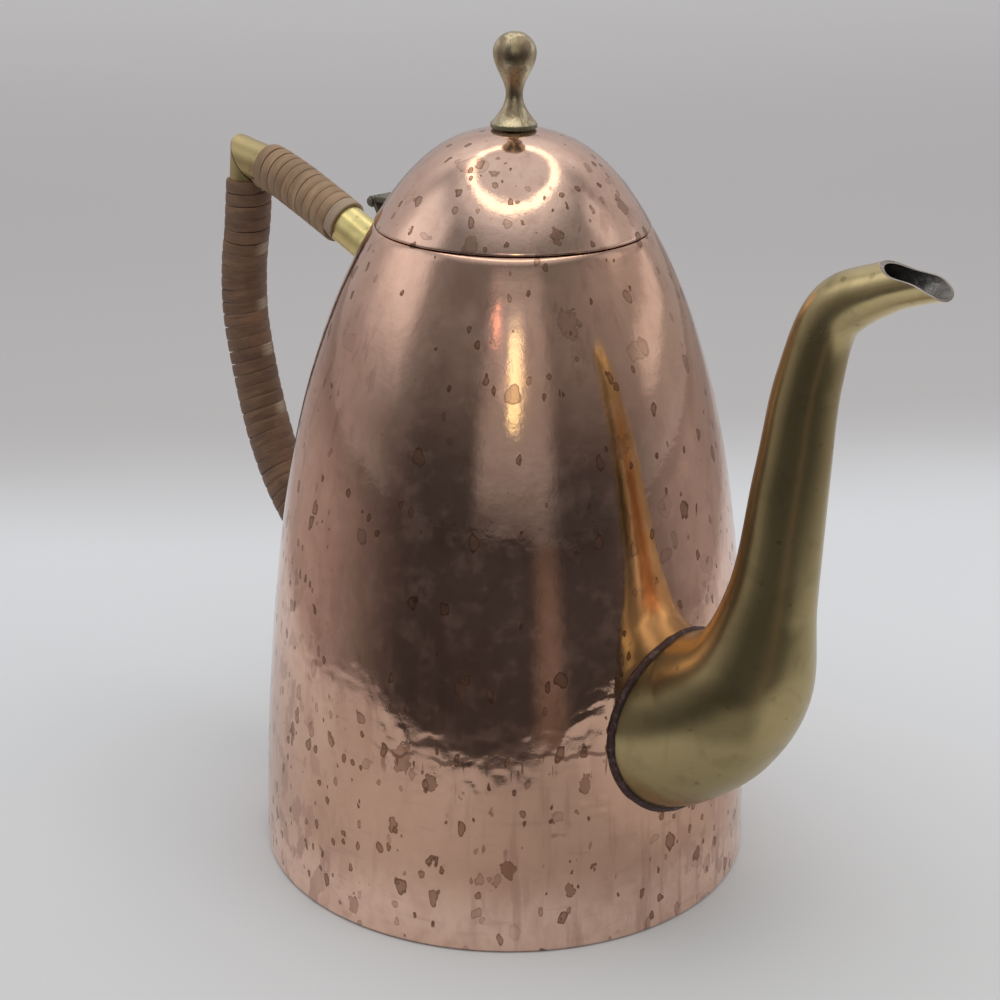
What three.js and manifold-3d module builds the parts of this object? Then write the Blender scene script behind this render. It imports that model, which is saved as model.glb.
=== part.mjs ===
// Tall copper pot with a hinged dome lid, a brass spout and a brass handle wound with cane.
// Millimetres, Z up. The origin is the middle of the flat base, the spout points along +X
// and the handle along -X.

import * as THREE from 'three';
import { mergeVertices } from 'three/addons/utils/BufferGeometryUtils.js';
import Module from 'manifold-3d';

const wasm = await Module();
wasm.setup();

// Clearances
const SEAT_GAP = 0.3;
const LID_GAP = 0.4;

// Body: raised copper sheet on a flat base
const BASE_RADIUS = 72;
const BASE_THICKNESS = 1.5;
const BASE_EDGE_RADIUS = 1.3;
const BODY_HEIGHT = 187.2;
const BODY_WALL = 1;
const LIP_RADIUS = 38.5;
const SIDE_POWER = 1.52;
const SHOULDER_POWER = 4.5;
const SHOULDER_SHARE = 0.57;

// Stiffening band inside the mouth
const BAND_THICKNESS = 1.2;
const BAND_HEIGHT = 6;
const BAND_LEDGE = 2;

// Lid
const DOME_RISE = 26.2;
const DOME_WALL = 1;
const DOME_POWER = 2.5;
const COLLAR_WALL = 1;
const COLLAR_DROP = 4.5;

// Finial knob, its stud, washer and nut
const KNOB_TOP = 25.8;
const KNOB_HEAD_LEVEL = 20.2;
const KNOB_HEAD_RADIUS = 5.9;
const KNOB_NECK_LEVEL = 9;
const KNOB_NECK_RADIUS = 2.3;
const KNOB_BASE_RADIUS = 6.4;
const KNOB_BASE_EDGE = 1.3;
const KNOB_FLARE_POWER = 1.8;
const STUD_RADIUS = 2;
const STUD_LENGTH = 7.6;
const WASHER_RADIUS = 6;
const WASHER_THICKNESS = 0.8;
const NUT_RADIUS = 4.4;
const NUT_THICKNESS = 3.2;

// Lid hinge
const HINGE_REACH = 15.4;
const HINGE_DROP = 2;
const HINGE_WIDTH = 9;
const KNUCKLE_RADIUS = 1.65;
const LID_KNUCKLE_WIDTH = 3.4;
const PIN_RADIUS = 0.75;
const PIN_HEAD_RADIUS = 1.25;
const PIN_HEAD_THICKNESS = 0.6;
const KNUCKLE_CLEARANCE = 0.5;
const LID_LEAF_THICKNESS = 1.7;
const LID_LEAF_CLIMB = 0.8;
const LID_LEAF_BEND = 4.6;
const LID_LEAF_FOOT = 3;
const LID_LEAF_END = 10;
const BODY_LEAF_THICKNESS = 1.1;
const BODY_LEAF_TOP_DROP = 3.2;
const BODY_LEAF_HEIGHT = 7;
const BODY_LEAF_BEND = 1.6;

// Spout: reach and rise from its root to the tip, and the root's radius
const SPOUT_ROOT_HEIGHT = 61.6;
const SPOUT_REACH = 78.5;
const SPOUT_RISE = 139.5;
const SPOUT_ROOT_RADIUS = 24.3;
const SPOUT_WALL = 1.2;

// Its stations, each as shares of the reach, the rise and the root's radius
const SPOUT_STATIONS = [
	{ reach: -0.115, rise: -0.022, radius: 1.049 },
	{ reach: 0, rise: 0.003, radius: 1 },
	{ reach: 0.14, rise: 0.054, radius: 0.889 },
	{ reach: 0.269, rise: 0.142, radius: 0.728 },
	{ reach: 0.345, rise: 0.308, radius: 0.494 },
	{ reach: 0.396, rise: 0.562, radius: 0.395 },
	{ reach: 0.437, rise: 0.748, radius: 0.342 },
	{ reach: 0.525, rise: 0.892, radius: 0.292 },
	{ reach: 0.693, rise: 0.945, radius: 0.255 },
	{ reach: 0.862, rise: 0.981, radius: 0.243 },
	{ reach: 1, rise: 1, radius: 0.243 },
];

// Pouring lip: the mouth is cut open from above along these shares, back to tip
const LIP_CUT = [
	{ reach: 0.682, rise: 0.989 },
	{ reach: 0.745, rise: 0.976 },
	{ reach: 0.834, rise: 0.972 },
	{ reach: 0.879, rise: 0.962 },
	{ reach: 0.911, rise: 0.949 },
	{ reach: 0.932, rise: 0.925 },
];

// Strainer punched in the body wall behind the spout
const STRAINER_HOLE_RADIUS = 1.75;
const STRAINER_SPACING = 7;
const STRAINER_RINGS = 2;

// Handle: brass tubes mitred at the corner, which stands out from the upper root
const HANDLE_TUBE_RADIUS = 6.1;
const HANDLE_TUBE_WALL = 1;
const HANDLE_CORNER_REACH = 67.5;
const HANDLE_CORNER_RISE = 21.5;
const UPPER_ROOT_DROP = 20.7;
const LOWER_ROOT_HEIGHT = 58;

// Points of each limb, as shares of the way out and up from its root to the corner
const UPPER_LIMB = [
	{ reach: -0.133, rise: -0.181 },
	{ reach: 0, rise: 0 },
	{ reach: 0.444, rise: 0.544 },
	{ reach: 0.8, rise: 0.912 },
];
const LOWER_LIMB = [
	{ reach: -0.193, rise: -0.031 },
	{ reach: 0, rise: 0 },
	{ reach: 0.385, rise: 0.092 },
	{ reach: 0.647, rise: 0.181 },
	{ reach: 0.807, rise: 0.269 },
	{ reach: 0.934, rise: 0.374 },
	{ reach: 1.045, rise: 0.508 },
	{ reach: 1.103, rise: 0.615 },
	{ reach: 1.098, rise: 0.735 },
	{ reach: 1.049, rise: 0.838 },
];

// Solder beads round the roots
const SPOUT_BEAD_RADIUS = 1.9;
const HANDLE_BEAD_RADIUS = 1.4;

// Cane winding on the handle
const STRIP_THICKNESS = 1;
const STRIP_EDGE = 0.6;
const STRIP_GAP = 0.35;
const UPPER_STRIP_WIDTH = 2.6;
const UPPER_PITCH = 3.5;
const UPPER_TURNS = 11;
const UPPER_WRAP_START = 9;
const LOWER_STRIP_WIDTH = 3.5;
const LOWER_PITCH = 4.65;
const LOWER_TURNS = 24;
const LOWER_WRAP_START = 8.5;

// Facet counts
const BODY_SEGMENTS = 44;
const BODY_STEPS = 10;
const DOME_SEGMENTS = 44;
const DOME_STEPS = 8;
const KNOB_SEGMENTS = 16;
const NUT_SIDES = 6;
const KNUCKLE_SIDES = 16;
const PIN_SIDES = 10;
const SPOUT_SIDES = 20;
const SPOUT_STEPS = 18;
const HOLE_SIDES = 6;
const HANDLE_SIDES = 12;
const UPPER_STEPS = 8;
const LOWER_STEPS = 15;
const BEAD_SIDES = 6;
const BEAD_STEPS = 20;
const LEAF_STEPS = 10;
const EDGE_STEPS = 2;
const KNOB_STEPS = 5;
const LIP_STEPS = 8;
const HALVINGS = 30;

// Working distances: welding, slopes, the bead's search along a path, and tube left past the mitre
const WELD_DISTANCE = 1e-4;
const LEAN_STEP = 1;
const BEAD_SEARCH_END = 0.5;
const MITRE_OVERRUN = 3 * HANDLE_TUBE_RADIUS;

const pot = new THREE.Group();

function addPart(name, geometry, colour, roughness, metalness) {
	const material = new THREE.MeshStandardMaterial({ color: colour, roughness, metalness });
	const mesh = new THREE.Mesh(geometry, material);
	mesh.name = name;
	pot.add(mesh);
}

const addCopper = (name, geometry) => addPart(name, geometry, 0xb87a5c, 0.28, 1);
const addBrass = (name, geometry) => addPart(name, geometry, 0xa8945a, 0.35, 1);
const addDarkBrass = (name, geometry) => addPart(name, geometry, 0x5a5040, 0.5, 1);
const addSolder = (name, geometry) => addPart(name, geometry, 0x4a4640, 0.55, 1);
const addCane = (name, geometry) => addPart(name, geometry, 0x8c7452, 0.7, 0);

// Solids: a welded mesh without needle faces, and back
function weld(geometry) {
	const bare = geometry.clone();
	bare.deleteAttribute('normal');
	bare.deleteAttribute('uv');
	const merged = mergeVertices(bare, WELD_DISTANCE);
	const source = merged.index.array;
	const kept = [];
	for (let i = 0; i < source.length; i += 3) {
		const [a, b, c] = [source[i], source[i + 1], source[i + 2]];
		if (a !== b && b !== c && c !== a) kept.push(a, b, c);
	}
	merged.setIndex(kept);
	return merged;
}

function toSolid(geometry) {
	const welded = weld(geometry);
	return new wasm.Manifold(new wasm.Mesh({
		numProp: 3,
		vertProperties: Float32Array.from(welded.attributes.position.array),
		triVerts: Uint32Array.from(welded.index.array),
	}));
}

function toGeometry(solid) {
	const mesh = solid.getMesh();
	const geometry = new THREE.BufferGeometry();
	geometry.setAttribute('position', new THREE.BufferAttribute(mesh.vertProperties, 3));
	geometry.setIndex(new THREE.BufferAttribute(mesh.triVerts, 1));
	geometry.computeVertexNormals();
	return geometry;
}

// A turned piece: its outline runs up the outside and down the inside, as [radius, height]
function turn(outline, segments) {
	const points = outline.map(([radius, height]) => new THREE.Vector2(Math.max(radius, 0), height));
	return weld(new THREE.LatheGeometry(points, segments).rotateX(Math.PI / 2));
}

function samples(count, place) {
	return Array.from({ length: count + 1 }, (_, i) => place(i / count));
}

// A skin over a row of rings that each run anticlockwise about the way ahead
function skin(rings, closed) {
	const sides = rings[0].length;
	const count = rings.length;
	const positions = rings.flat().flatMap((point) => [point.x, point.y, point.z]);
	const index = [];
	const spans = closed ? count : count - 1;
	for (let i = 0; i < spans; i++) {
		const here = i * sides;
		const next = ((i + 1) % count) * sides;
		for (let j = 0; j < sides; j++) {
			const k = (j + 1) % sides;
			index.push(here + j, here + k, next + k, here + j, next + k, next + j);
		}
	}
	const last = (count - 1) * sides;
	for (let j = 1; j < sides - 1 && !closed; j++) {
		index.push(0, j + 1, j, last, last + j, last + j + 1);
	}
	const geometry = new THREE.BufferGeometry();
	geometry.setAttribute('position', new THREE.Float32BufferAttribute(positions, 3));
	geometry.setIndex(index);
	geometry.computeVertexNormals();
	return geometry;
}

// A path in the upright plane through spout and handle. Its points are [x, z, tube radius], and
// the curve through them carries the radius as its Y.
function planePath(points) {
	return new THREE.CatmullRomCurve3(points.map(([x, z, radius]) => new THREE.Vector3(x, radius, z)),
		false, 'centripetal');
}

function frameAt(path, u) {
	const point = path.getPointAt(THREE.MathUtils.clamp(u, 0, 1));
	const along = path.getTangentAt(THREE.MathUtils.clamp(u, 0, 1)).setY(0).normalize();
	return {
		centre: new THREE.Vector3(point.x, 0, point.z),
		radius: point.y,
		along,
		inPlane: new THREE.Vector3(along.z, 0, -along.x),
		across: new THREE.Vector3(0, 1, 0),
	};
}

function offset(frame, inPlane, across) {
	return frame.centre.clone().addScaledVector(frame.inPlane, inPlane).addScaledVector(frame.across, across);
}

function ring(frame, radius, sides) {
	return Array.from({ length: sides }, (_, i) => {
		const angle = (2 * Math.PI * i) / sides;
		return offset(frame, radius * Math.cos(angle), radius * Math.sin(angle));
	});
}

function tube(path, steps, sides, grow) {
	const rings = samples(steps, (u) => {
		const frame = frameAt(path, u);
		return ring(frame, frame.radius + grow, sides);
	});
	return skin(rings, false);
}

function strap(path, thickness, width) {
	const rings = samples(LEAF_STEPS, (u) => {
		const frame = frameAt(path, u);
		const half = thickness / 2;
		const side = width / 2;
		return [
			offset(frame, half, -side),
			offset(frame, half, side),
			offset(frame, -half, side),
			offset(frame, -half, -side),
		];
	});
	return skin(rings, false);
}

// A cylinder that lies along Y at the hinge axis
function crossBar(radius, width, sides, y) {
	return new THREE.CylinderGeometry(radius, radius, width, sides).translate(0, y, 0);
}

// Body outline
function bodyRadius(height) {
	const u = Math.max(height, 0) / BODY_HEIGHT;
	const fall = (1 - SHOULDER_SHARE) * u ** SIDE_POWER + SHOULDER_SHARE * u ** SHOULDER_POWER;
	return BASE_RADIUS - (BASE_RADIUS - LIP_RADIUS) * fall;
}

// How fast a radius grows with height
function lean(radiusAt, height) {
	const half = LEAN_STEP / 2;
	return (radiusAt(height + half) - radiusAt(height - half)) / LEAN_STEP;
}

function bodyInnerRadius(height) {
	return bodyRadius(height) - BODY_WALL * Math.hypot(1, lean(bodyRadius, height));
}

// The wall as it stands: straight from level to level
const bodyLevels = samples(BODY_STEPS, (u) => THREE.MathUtils.lerp(BASE_THICKNESS, BODY_HEIGHT, u));

function wallRadius(height, radiusAt) {
	const step = (BODY_HEIGHT - BASE_THICKNESS) / BODY_STEPS;
	const i = Math.min(Math.floor((height - BASE_THICKNESS) / step), BODY_STEPS - 1);
	const share = (height - bodyLevels[i]) / step;
	return THREE.MathUtils.lerp(radiusAt(bodyLevels[i]), radiusAt(bodyLevels[i + 1]), share);
}

// Everything inside the body's outer face, and a gap round it
function bodyEnvelope(gap) {
	const bottom = -2 * BASE_THICKNESS;
	const top = BODY_HEIGHT + BAND_HEIGHT;
	const side = bodyLevels.map((height) => [bodyRadius(height) + gap, height]);
	return toSolid(turn([[0, bottom], [BASE_RADIUS + gap, bottom], ...side, [LIP_RADIUS + gap, top], [0, top]],
		BODY_SEGMENTS));
}

// Strainer: rings of small holes along X, in a hexagon round the spout's middle
function strainerPunch() {
	const depth = 4 * BODY_WALL + 2 * STRAINER_SPACING;
	const punches = [];
	for (let ring = 0; ring <= STRAINER_RINGS; ring++) {
		const holes = Math.max(6 * ring, 1);
		for (let i = 0; i < holes; i++) {
			const angle = (2 * Math.PI * i) / holes;
			const y = ring * STRAINER_SPACING * Math.cos(angle);
			const z = SPOUT_ROOT_HEIGHT + ring * STRAINER_SPACING * Math.sin(angle);
			const punch = new THREE.CylinderGeometry(STRAINER_HOLE_RADIUS, STRAINER_HOLE_RADIUS, depth, HOLE_SIDES);
			punch.rotateZ(Math.PI / 2).translate(bodyRadius(SPOUT_ROOT_HEIGHT), y, z);
			punches.push(toSolid(punch));
		}
	}
	return punches.reduce((all, punch) => all.add(punch));
}

function makeBody() {
	const outside = bodyLevels.map((height) => [bodyRadius(height), height]);
	const inside = bodyLevels.map((height) => [bodyInnerRadius(height), height]).reverse();
	const shell = toSolid(turn([...outside, ...inside, outside[0]], BODY_SEGMENTS));
	addCopper('body_shell', toGeometry(shell.subtract(strainerPunch())));
	const edge = samples(EDGE_STEPS, (u) => {
		const angle = (Math.PI / 2) * (1 - u);
		const radius = bodyRadius(BASE_THICKNESS) - BASE_EDGE_RADIUS * (1 - Math.cos(angle));
		return [radius, BASE_EDGE_RADIUS * (1 - Math.sin(angle))];
	});
	addCopper('base_plate', turn(
		[[0, 0], ...edge, [bodyRadius(BASE_THICKNESS), BASE_THICKNESS], [0, BASE_THICKNESS]], BODY_SEGMENTS));
}

// Stiffening band: an angle ring inside the mouth, its top level with the lip
const bandRadius = (height) => wallRadius(height, bodyInnerRadius) - SEAT_GAP;
const mouthRadius = bandRadius(BODY_HEIGHT) - BAND_LEDGE;

function makeMouthBand() {
	const under = BODY_HEIGHT - BAND_THICKNESS;
	const foot = BODY_HEIGHT - BAND_HEIGHT;
	addCopper('mouth_band', turn([
		[bandRadius(foot) - BAND_THICKNESS, foot],
		[bandRadius(foot), foot],
		[bandRadius(BODY_HEIGHT), BODY_HEIGHT],
		[mouthRadius, BODY_HEIGHT],
		[mouthRadius, under],
		[bandRadius(under) - BAND_THICKNESS, under],
		[bandRadius(foot) - BAND_THICKNESS, foot],
	], BODY_SEGMENTS));
}

// Lid: a dome that rests on the lip, steep at the rim, round above and flat under the finial
const rimBottom = BODY_HEIGHT + SEAT_GAP;

function domeHeight(radius, inset) {
	return rimBottom + (DOME_RISE - inset) * (1 - (radius / (LIP_RADIUS - inset)) ** DOME_POWER);
}

function domeOutline(inset) {
	const rim = LIP_RADIUS - inset;
	const curve = samples(DOME_STEPS, (u) => {
		const radius = rim * Math.cos(u * Math.acos(KNOB_BASE_RADIUS / rim));
		return [radius, domeHeight(radius, inset)];
	});
	return [...curve, [STUD_RADIUS + SEAT_GAP, domeHeight(KNOB_BASE_RADIUS, inset)]];
}

function makeLid() {
	const outside = domeOutline(0);
	const inside = domeOutline(DOME_WALL).reverse();
	addCopper('lid_dome', turn([...outside, ...inside, outside[0]], DOME_SEGMENTS));
	const outer = mouthRadius - LID_GAP;
	const inner = outer - COLLAR_WALL;
	const foot = BODY_HEIGHT - COLLAR_DROP;
	const head = domeHeight(outer + SEAT_GAP, DOME_WALL) - SEAT_GAP;
	addCopper('lid_collar', turn([[inner, foot], [outer, foot], [outer, head], [inner, head], [inner, foot]],
		DOME_SEGMENTS));
}

// Finial: one turned knob with its stud, clamped through the dome by a washer and a nut
const knobBottom = domeHeight(KNOB_BASE_RADIUS, 0) + SEAT_GAP;
const washerTop = domeHeight(KNOB_BASE_RADIUS, DOME_WALL) - SEAT_GAP;
const nutTop = washerTop - WASHER_THICKNESS - SEAT_GAP;

function makeFinial() {
	const headArc = samples(KNOB_STEPS, (u) => {
		const angle = (Math.PI / 2) * u;
		const height = KNOB_HEAD_LEVEL + (KNOB_TOP - KNOB_HEAD_LEVEL) * Math.sin(angle);
		return [KNOB_HEAD_RADIUS * Math.cos(angle), knobBottom + height];
	});
	const stem = samples(KNOB_STEPS, (u) => {
		const swell = (1 - Math.cos(Math.PI * u)) / 2;
		const height = KNOB_NECK_LEVEL + (KNOB_HEAD_LEVEL - KNOB_NECK_LEVEL) * u;
		return [KNOB_NECK_RADIUS + (KNOB_HEAD_RADIUS - KNOB_NECK_RADIUS) * swell, knobBottom + height];
	});
	const flare = samples(KNOB_STEPS, (u) => {
		const spread = (1 - u) ** KNOB_FLARE_POWER;
		const height = KNOB_BASE_EDGE + (KNOB_NECK_LEVEL - KNOB_BASE_EDGE) * u;
		return [KNOB_NECK_RADIUS + (KNOB_BASE_RADIUS - KNOB_NECK_RADIUS) * spread, knobBottom + height];
	});
	addBrass('finial_knob', turn([
		[0, knobBottom - STUD_LENGTH],
		[STUD_RADIUS, knobBottom - STUD_LENGTH],
		[STUD_RADIUS, knobBottom],
		[KNOB_BASE_RADIUS, knobBottom],
		...flare,
		...stem.slice(1),
		...headArc.slice(1),
	], KNOB_SEGMENTS));
	const bore = STUD_RADIUS + SEAT_GAP;
	const collar = (outer, top, thickness, segments) => turn([
		[bore, top - thickness],
		[outer, top - thickness],
		[outer, top],
		[bore, top],
		[bore, top - thickness],
	], segments);
	addBrass('finial_washer', collar(WASHER_RADIUS, washerTop, WASHER_THICKNESS, KNOB_SEGMENTS));
	addBrass('finial_nut', collar(NUT_RADIUS, nutTop, NUT_THICKNESS, NUT_SIDES));
}

// Hinge: a body leaf bent up from the shoulder, a lid leaf that runs onto the dome, and a pin
const hingeX = -(LIP_RADIUS + HINGE_REACH);
const hingeZ = BODY_HEIGHT - HINGE_DROP;

function atHinge(geometry) {
	return geometry.translate(hingeX, 0, hingeZ);
}

// A point that stands off a surface, square to it
function standOff(radius, height, slope, stand) {
	const along = Math.hypot(1, slope);
	return [-(radius - (stand * slope) / along), height + stand / along];
}

function makeHinge() {
	const barrel = (radius, width, y) => toSolid(atHinge(crossBar(radius, width, KNUCKLE_SIDES, y)));
	const bore = toSolid(atHinge(crossBar(PIN_RADIUS + SEAT_GAP, 2 * HINGE_WIDTH, PIN_SIDES, 0)));
	const notchRadius = KNUCKLE_RADIUS + KNUCKLE_CLEARANCE;
	const notchWidth = LID_KNUCKLE_WIDTH + 2 * SEAT_GAP;
	const sideWidth = (HINGE_WIDTH - notchWidth) / 2;
	const sideNotch = HINGE_WIDTH / 2 + KNUCKLE_CLEARANCE - LID_KNUCKLE_WIDTH / 2;

	const onDome = samples(EDGE_STEPS, (u) => {
		const rise = LID_LEAF_FOOT + (LID_LEAF_END - LID_LEAF_FOOT) * u;
		const radius = LIP_RADIUS * (1 - rise / DOME_RISE) ** (1 / DOME_POWER);
		const slope = -DOME_POWER * (DOME_RISE - rise) / radius;
		return standOff(radius, rimBottom + rise, slope, SEAT_GAP + LID_LEAF_THICKNESS / 2);
	});
	const knuckleTop = hingeZ + KNUCKLE_RADIUS - LID_LEAF_THICKNESS / 2;
	const lidPath = planePath([
		[hingeX, knuckleTop],
		[(hingeX - LIP_RADIUS - LID_LEAF_BEND) / 2, knuckleTop + LID_LEAF_CLIMB / 2],
		[-(LIP_RADIUS + LID_LEAF_BEND), knuckleTop + LID_LEAF_CLIMB],
		...onDome,
	].map(([x, z]) => [x, z, 0]));
	let lidLeaf = toSolid(strap(lidPath, LID_LEAF_THICKNESS, HINGE_WIDTH));
	for (const side of [-1, 1]) {
		lidLeaf = lidLeaf.subtract(barrel(notchRadius, sideNotch, side * (LID_KNUCKLE_WIDTH + sideNotch) / 2));
	}
	lidLeaf = lidLeaf.add(barrel(KNUCKLE_RADIUS, LID_KNUCKLE_WIDTH, 0));
	addDarkBrass('hinge_lid_leaf', toGeometry(lidLeaf.subtract(bore)));

	const leafTop = BODY_HEIGHT - BODY_LEAF_TOP_DROP;
	const onBody = samples(EDGE_STEPS, (u) => {
		const height = leafTop - BODY_LEAF_HEIGHT * u;
		const slope = 1 / lean((level) => wallRadius(level, bodyRadius), height);
		return standOff(wallRadius(height, bodyRadius), height, slope, SEAT_GAP + BODY_LEAF_THICKNESS / 2);
	});
	const [footX, footZ] = onBody[EDGE_STEPS];
	const bodyPath = planePath([
		...onBody,
		[footX - BODY_LEAF_BEND, footZ - BODY_LEAF_BEND],
		[footX - 2 * BODY_LEAF_BEND, footZ],
		[hingeX + KNUCKLE_RADIUS / 2, hingeZ],
	].map(([x, z]) => [x, z, 0]));
	let bodyLeaf = toSolid(strap(bodyPath, BODY_LEAF_THICKNESS, HINGE_WIDTH));
	bodyLeaf = bodyLeaf.subtract(barrel(notchRadius, notchWidth, 0));
	for (const side of [-1, 1]) {
		bodyLeaf = bodyLeaf.add(barrel(KNUCKLE_RADIUS, sideWidth, side * (notchWidth + sideWidth) / 2));
	}
	addDarkBrass('hinge_body_leaf', toGeometry(bodyLeaf.subtract(bore)));

	const pinHalf = HINGE_WIDTH / 2 + SEAT_GAP;
	const pinEnd = pinHalf + PIN_HEAD_THICKNESS;
	const pin = turn([
		[0, -pinEnd],
		[PIN_HEAD_RADIUS, -pinEnd],
		[PIN_HEAD_RADIUS, -pinHalf],
		[PIN_RADIUS, -pinHalf],
		[PIN_RADIUS, pinHalf],
		[PIN_HEAD_RADIUS, pinHalf],
		[PIN_HEAD_RADIUS, pinEnd],
		[0, pinEnd],
	], PIN_SIDES);
	addDarkBrass('hinge_pin', atHinge(pin.rotateX(Math.PI / 2)));
}

// Solder bead: a ring along the line where a tube meets the body, trimmed by both
function makeBead(name, path, beadRadius, steps, sides) {
	const loop = Array.from({ length: BEAD_STEPS }, (_, k) => {
		const onTube = (u) => ring(frameAt(path, u), frameAt(path, u).radius, BEAD_STEPS)[k];
		let [inner, outer] = [0, BEAD_SEARCH_END];
		for (let i = 0; i < HALVINGS; i++) {
			const u = (inner + outer) / 2;
			const point = onTube(u);
			if (Math.hypot(point.x, point.y) < bodyRadius(point.z)) inner = u;
			else outer = u;
		}
		return onTube(inner);
	});
	const middle = loop.reduce((sum, point) => sum.add(point), new THREE.Vector3()).divideScalar(BEAD_STEPS);
	const rings = loop.map((point, i) => {
		const before = loop[(i + BEAD_STEPS - 1) % BEAD_STEPS];
		const after = loop[(i + 1) % BEAD_STEPS];
		const along = after.clone().sub(before).normalize();
		const away = point.clone().sub(middle).projectOnPlane(along).normalize();
		return ring({ centre: point, inPlane: away, across: along.clone().cross(away) }, beadRadius, BEAD_SIDES);
	});
	const core = toSolid(tube(path, steps, sides, SEAT_GAP));
	const bead = toSolid(skin(rings, true)).subtract(core).subtract(bodyEnvelope(SEAT_GAP));
	addSolder(name, toGeometry(bead));
}

// Spout: a tapering swan neck, hollow from the root to the open lip
const spoutRootX = bodyRadius(SPOUT_ROOT_HEIGHT);

function makeSpout() {
	const place = ({ reach, rise }) => [spoutRootX + SPOUT_REACH * reach, SPOUT_ROOT_HEIGHT + SPOUT_RISE * rise];
	const stations = SPOUT_STATIONS.map((station) => [...place(station), SPOUT_ROOT_RADIUS * station.radius]);
	const path = planePath(stations);
	const outside = toSolid(tube(path, SPOUT_STEPS, SPOUT_SIDES, 0));
	const bore = toSolid(tube(path, SPOUT_STEPS, SPOUT_SIDES, -SPOUT_WALL));
	const cut = new THREE.Shape();
	const cutPoints = LIP_CUT.map((point) => new THREE.Vector2(...place(point)));
	const clear = 2 * SPOUT_ROOT_RADIUS;
	cut.moveTo(cutPoints[0].x, cutPoints[0].y + clear);
	cut.lineTo(cutPoints[0].x, cutPoints[0].y);
	cut.splineThru(cutPoints.slice(1));
	cut.lineTo(cutPoints.at(-1).x, cutPoints.at(-1).y - clear);
	cut.lineTo(cutPoints.at(-1).x + clear, cutPoints.at(-1).y - clear);
	cut.lineTo(cutPoints.at(-1).x + clear, cutPoints[0].y + clear);
	const extrusion = { depth: clear, bevelEnabled: false, curveSegments: LIP_STEPS };
	const cutter = new THREE.ExtrudeGeometry(cut, extrusion);
	cutter.translate(0, 0, -clear / 2).rotateX(Math.PI / 2);
	const spout = outside.subtract(bore).subtract(bodyEnvelope(SEAT_GAP)).subtract(toSolid(cutter));
	addBrass('spout', toGeometry(spout));
	makeBead('spout_solder', path, SPOUT_BEAD_RADIUS, SPOUT_STEPS, SPOUT_SIDES);
}

// Handle: each limb runs from inside the body wall to the mitred corner
const upperRootHeight = BODY_HEIGHT - UPPER_ROOT_DROP;

function limbPath(rootHeight, points) {
	const rootX = bodyRadius(rootHeight);
	const cornerX = -(bodyRadius(upperRootHeight) + HANDLE_CORNER_REACH);
	const cornerZ = upperRootHeight + HANDLE_CORNER_RISE;
	const bends = points.map(({ reach, rise }) => [
		THREE.MathUtils.lerp(-rootX, cornerX, reach), THREE.MathUtils.lerp(rootHeight, cornerZ, rise)]);
	return planePath([...bends, [cornerX, cornerZ]].map(([x, z]) => [x, z, HANDLE_TUBE_RADIUS]));
}

// A tube that runs straight on past the corner, to be cut at the mitre
function limbSolid(path, steps, radius) {
	const end = frameAt(path, 1);
	const frames = samples(steps, (u) => frameAt(path, u));
	frames.push({ ...end, centre: end.centre.clone().addScaledVector(end.along, MITRE_OVERRUN) });
	return toSolid(skin(frames.map((frame) => ring(frame, radius, HANDLE_SIDES)), false));
}

// The space beyond the mitre, half a gap short of the corner
function mitreBlock(corner, along, otherAlong) {
	const normal = along.clone().sub(otherAlong).normalize();
	const size = 3 * MITRE_OVERRUN;
	const middle = corner.clone().addScaledVector(normal, (size - SEAT_GAP) / 2);
	const turned = new THREE.Quaternion().setFromUnitVectors(new THREE.Vector3(0, 0, 1), normal);
	const block = new THREE.BoxGeometry(size, size, size).applyQuaternion(turned);
	return toSolid(block.translate(middle.x, middle.y, middle.z));
}

// Cane strip wound round a limb: one unbroken band, its ends straight for one thickness
function windStrip(name, path, start, turns, pitch, width) {
	const inner = HANDLE_TUBE_RADIUS + STRIP_GAP;
	const length = path.getLength();
	const half = width / 2;
	const section = [
		[-half, 0],
		[half, 0],
		[half, STRIP_EDGE],
		[0, STRIP_THICKNESS],
		[-half, STRIP_EDGE],
	];
	const place = (turn, run) => {
		const angle = 2 * Math.PI * turn;
		const frame = frameAt(path, 1 - (start + pitch * (turns - turn)) / length);
		const radial = offset(frame, Math.cos(angle), Math.sin(angle)).sub(frame.centre);
		const ahead = offset(frame, -Math.sin(angle), Math.cos(angle)).sub(frame.centre);
		return section.map(([axial, height]) => frame.centre.clone()
			.addScaledVector(frame.along, axial)
			.addScaledVector(radial, inner + height)
			.addScaledVector(ahead, run));
	};
	const loops = samples(turns * HANDLE_SIDES, (u) => place(u * turns, 0));
	let least = Infinity;
	for (let i = 0; i < loops.length; i++) {
		for (let j = i + HANDLE_SIDES - 2; j < Math.min(i + HANDLE_SIDES + 3, loops.length); j++) {
			for (const a of loops[i]) {
				for (const b of loops[j]) least = Math.min(least, a.distanceTo(b));
			}
		}
	}
	console.log(`${name}: least gap between turns ${least.toFixed(2)} mm`);
	loops.unshift(place(0, -STRIP_THICKNESS));
	loops.push(place(turns, STRIP_THICKNESS));
	addCane(name, skin(loops, false));
}

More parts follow.
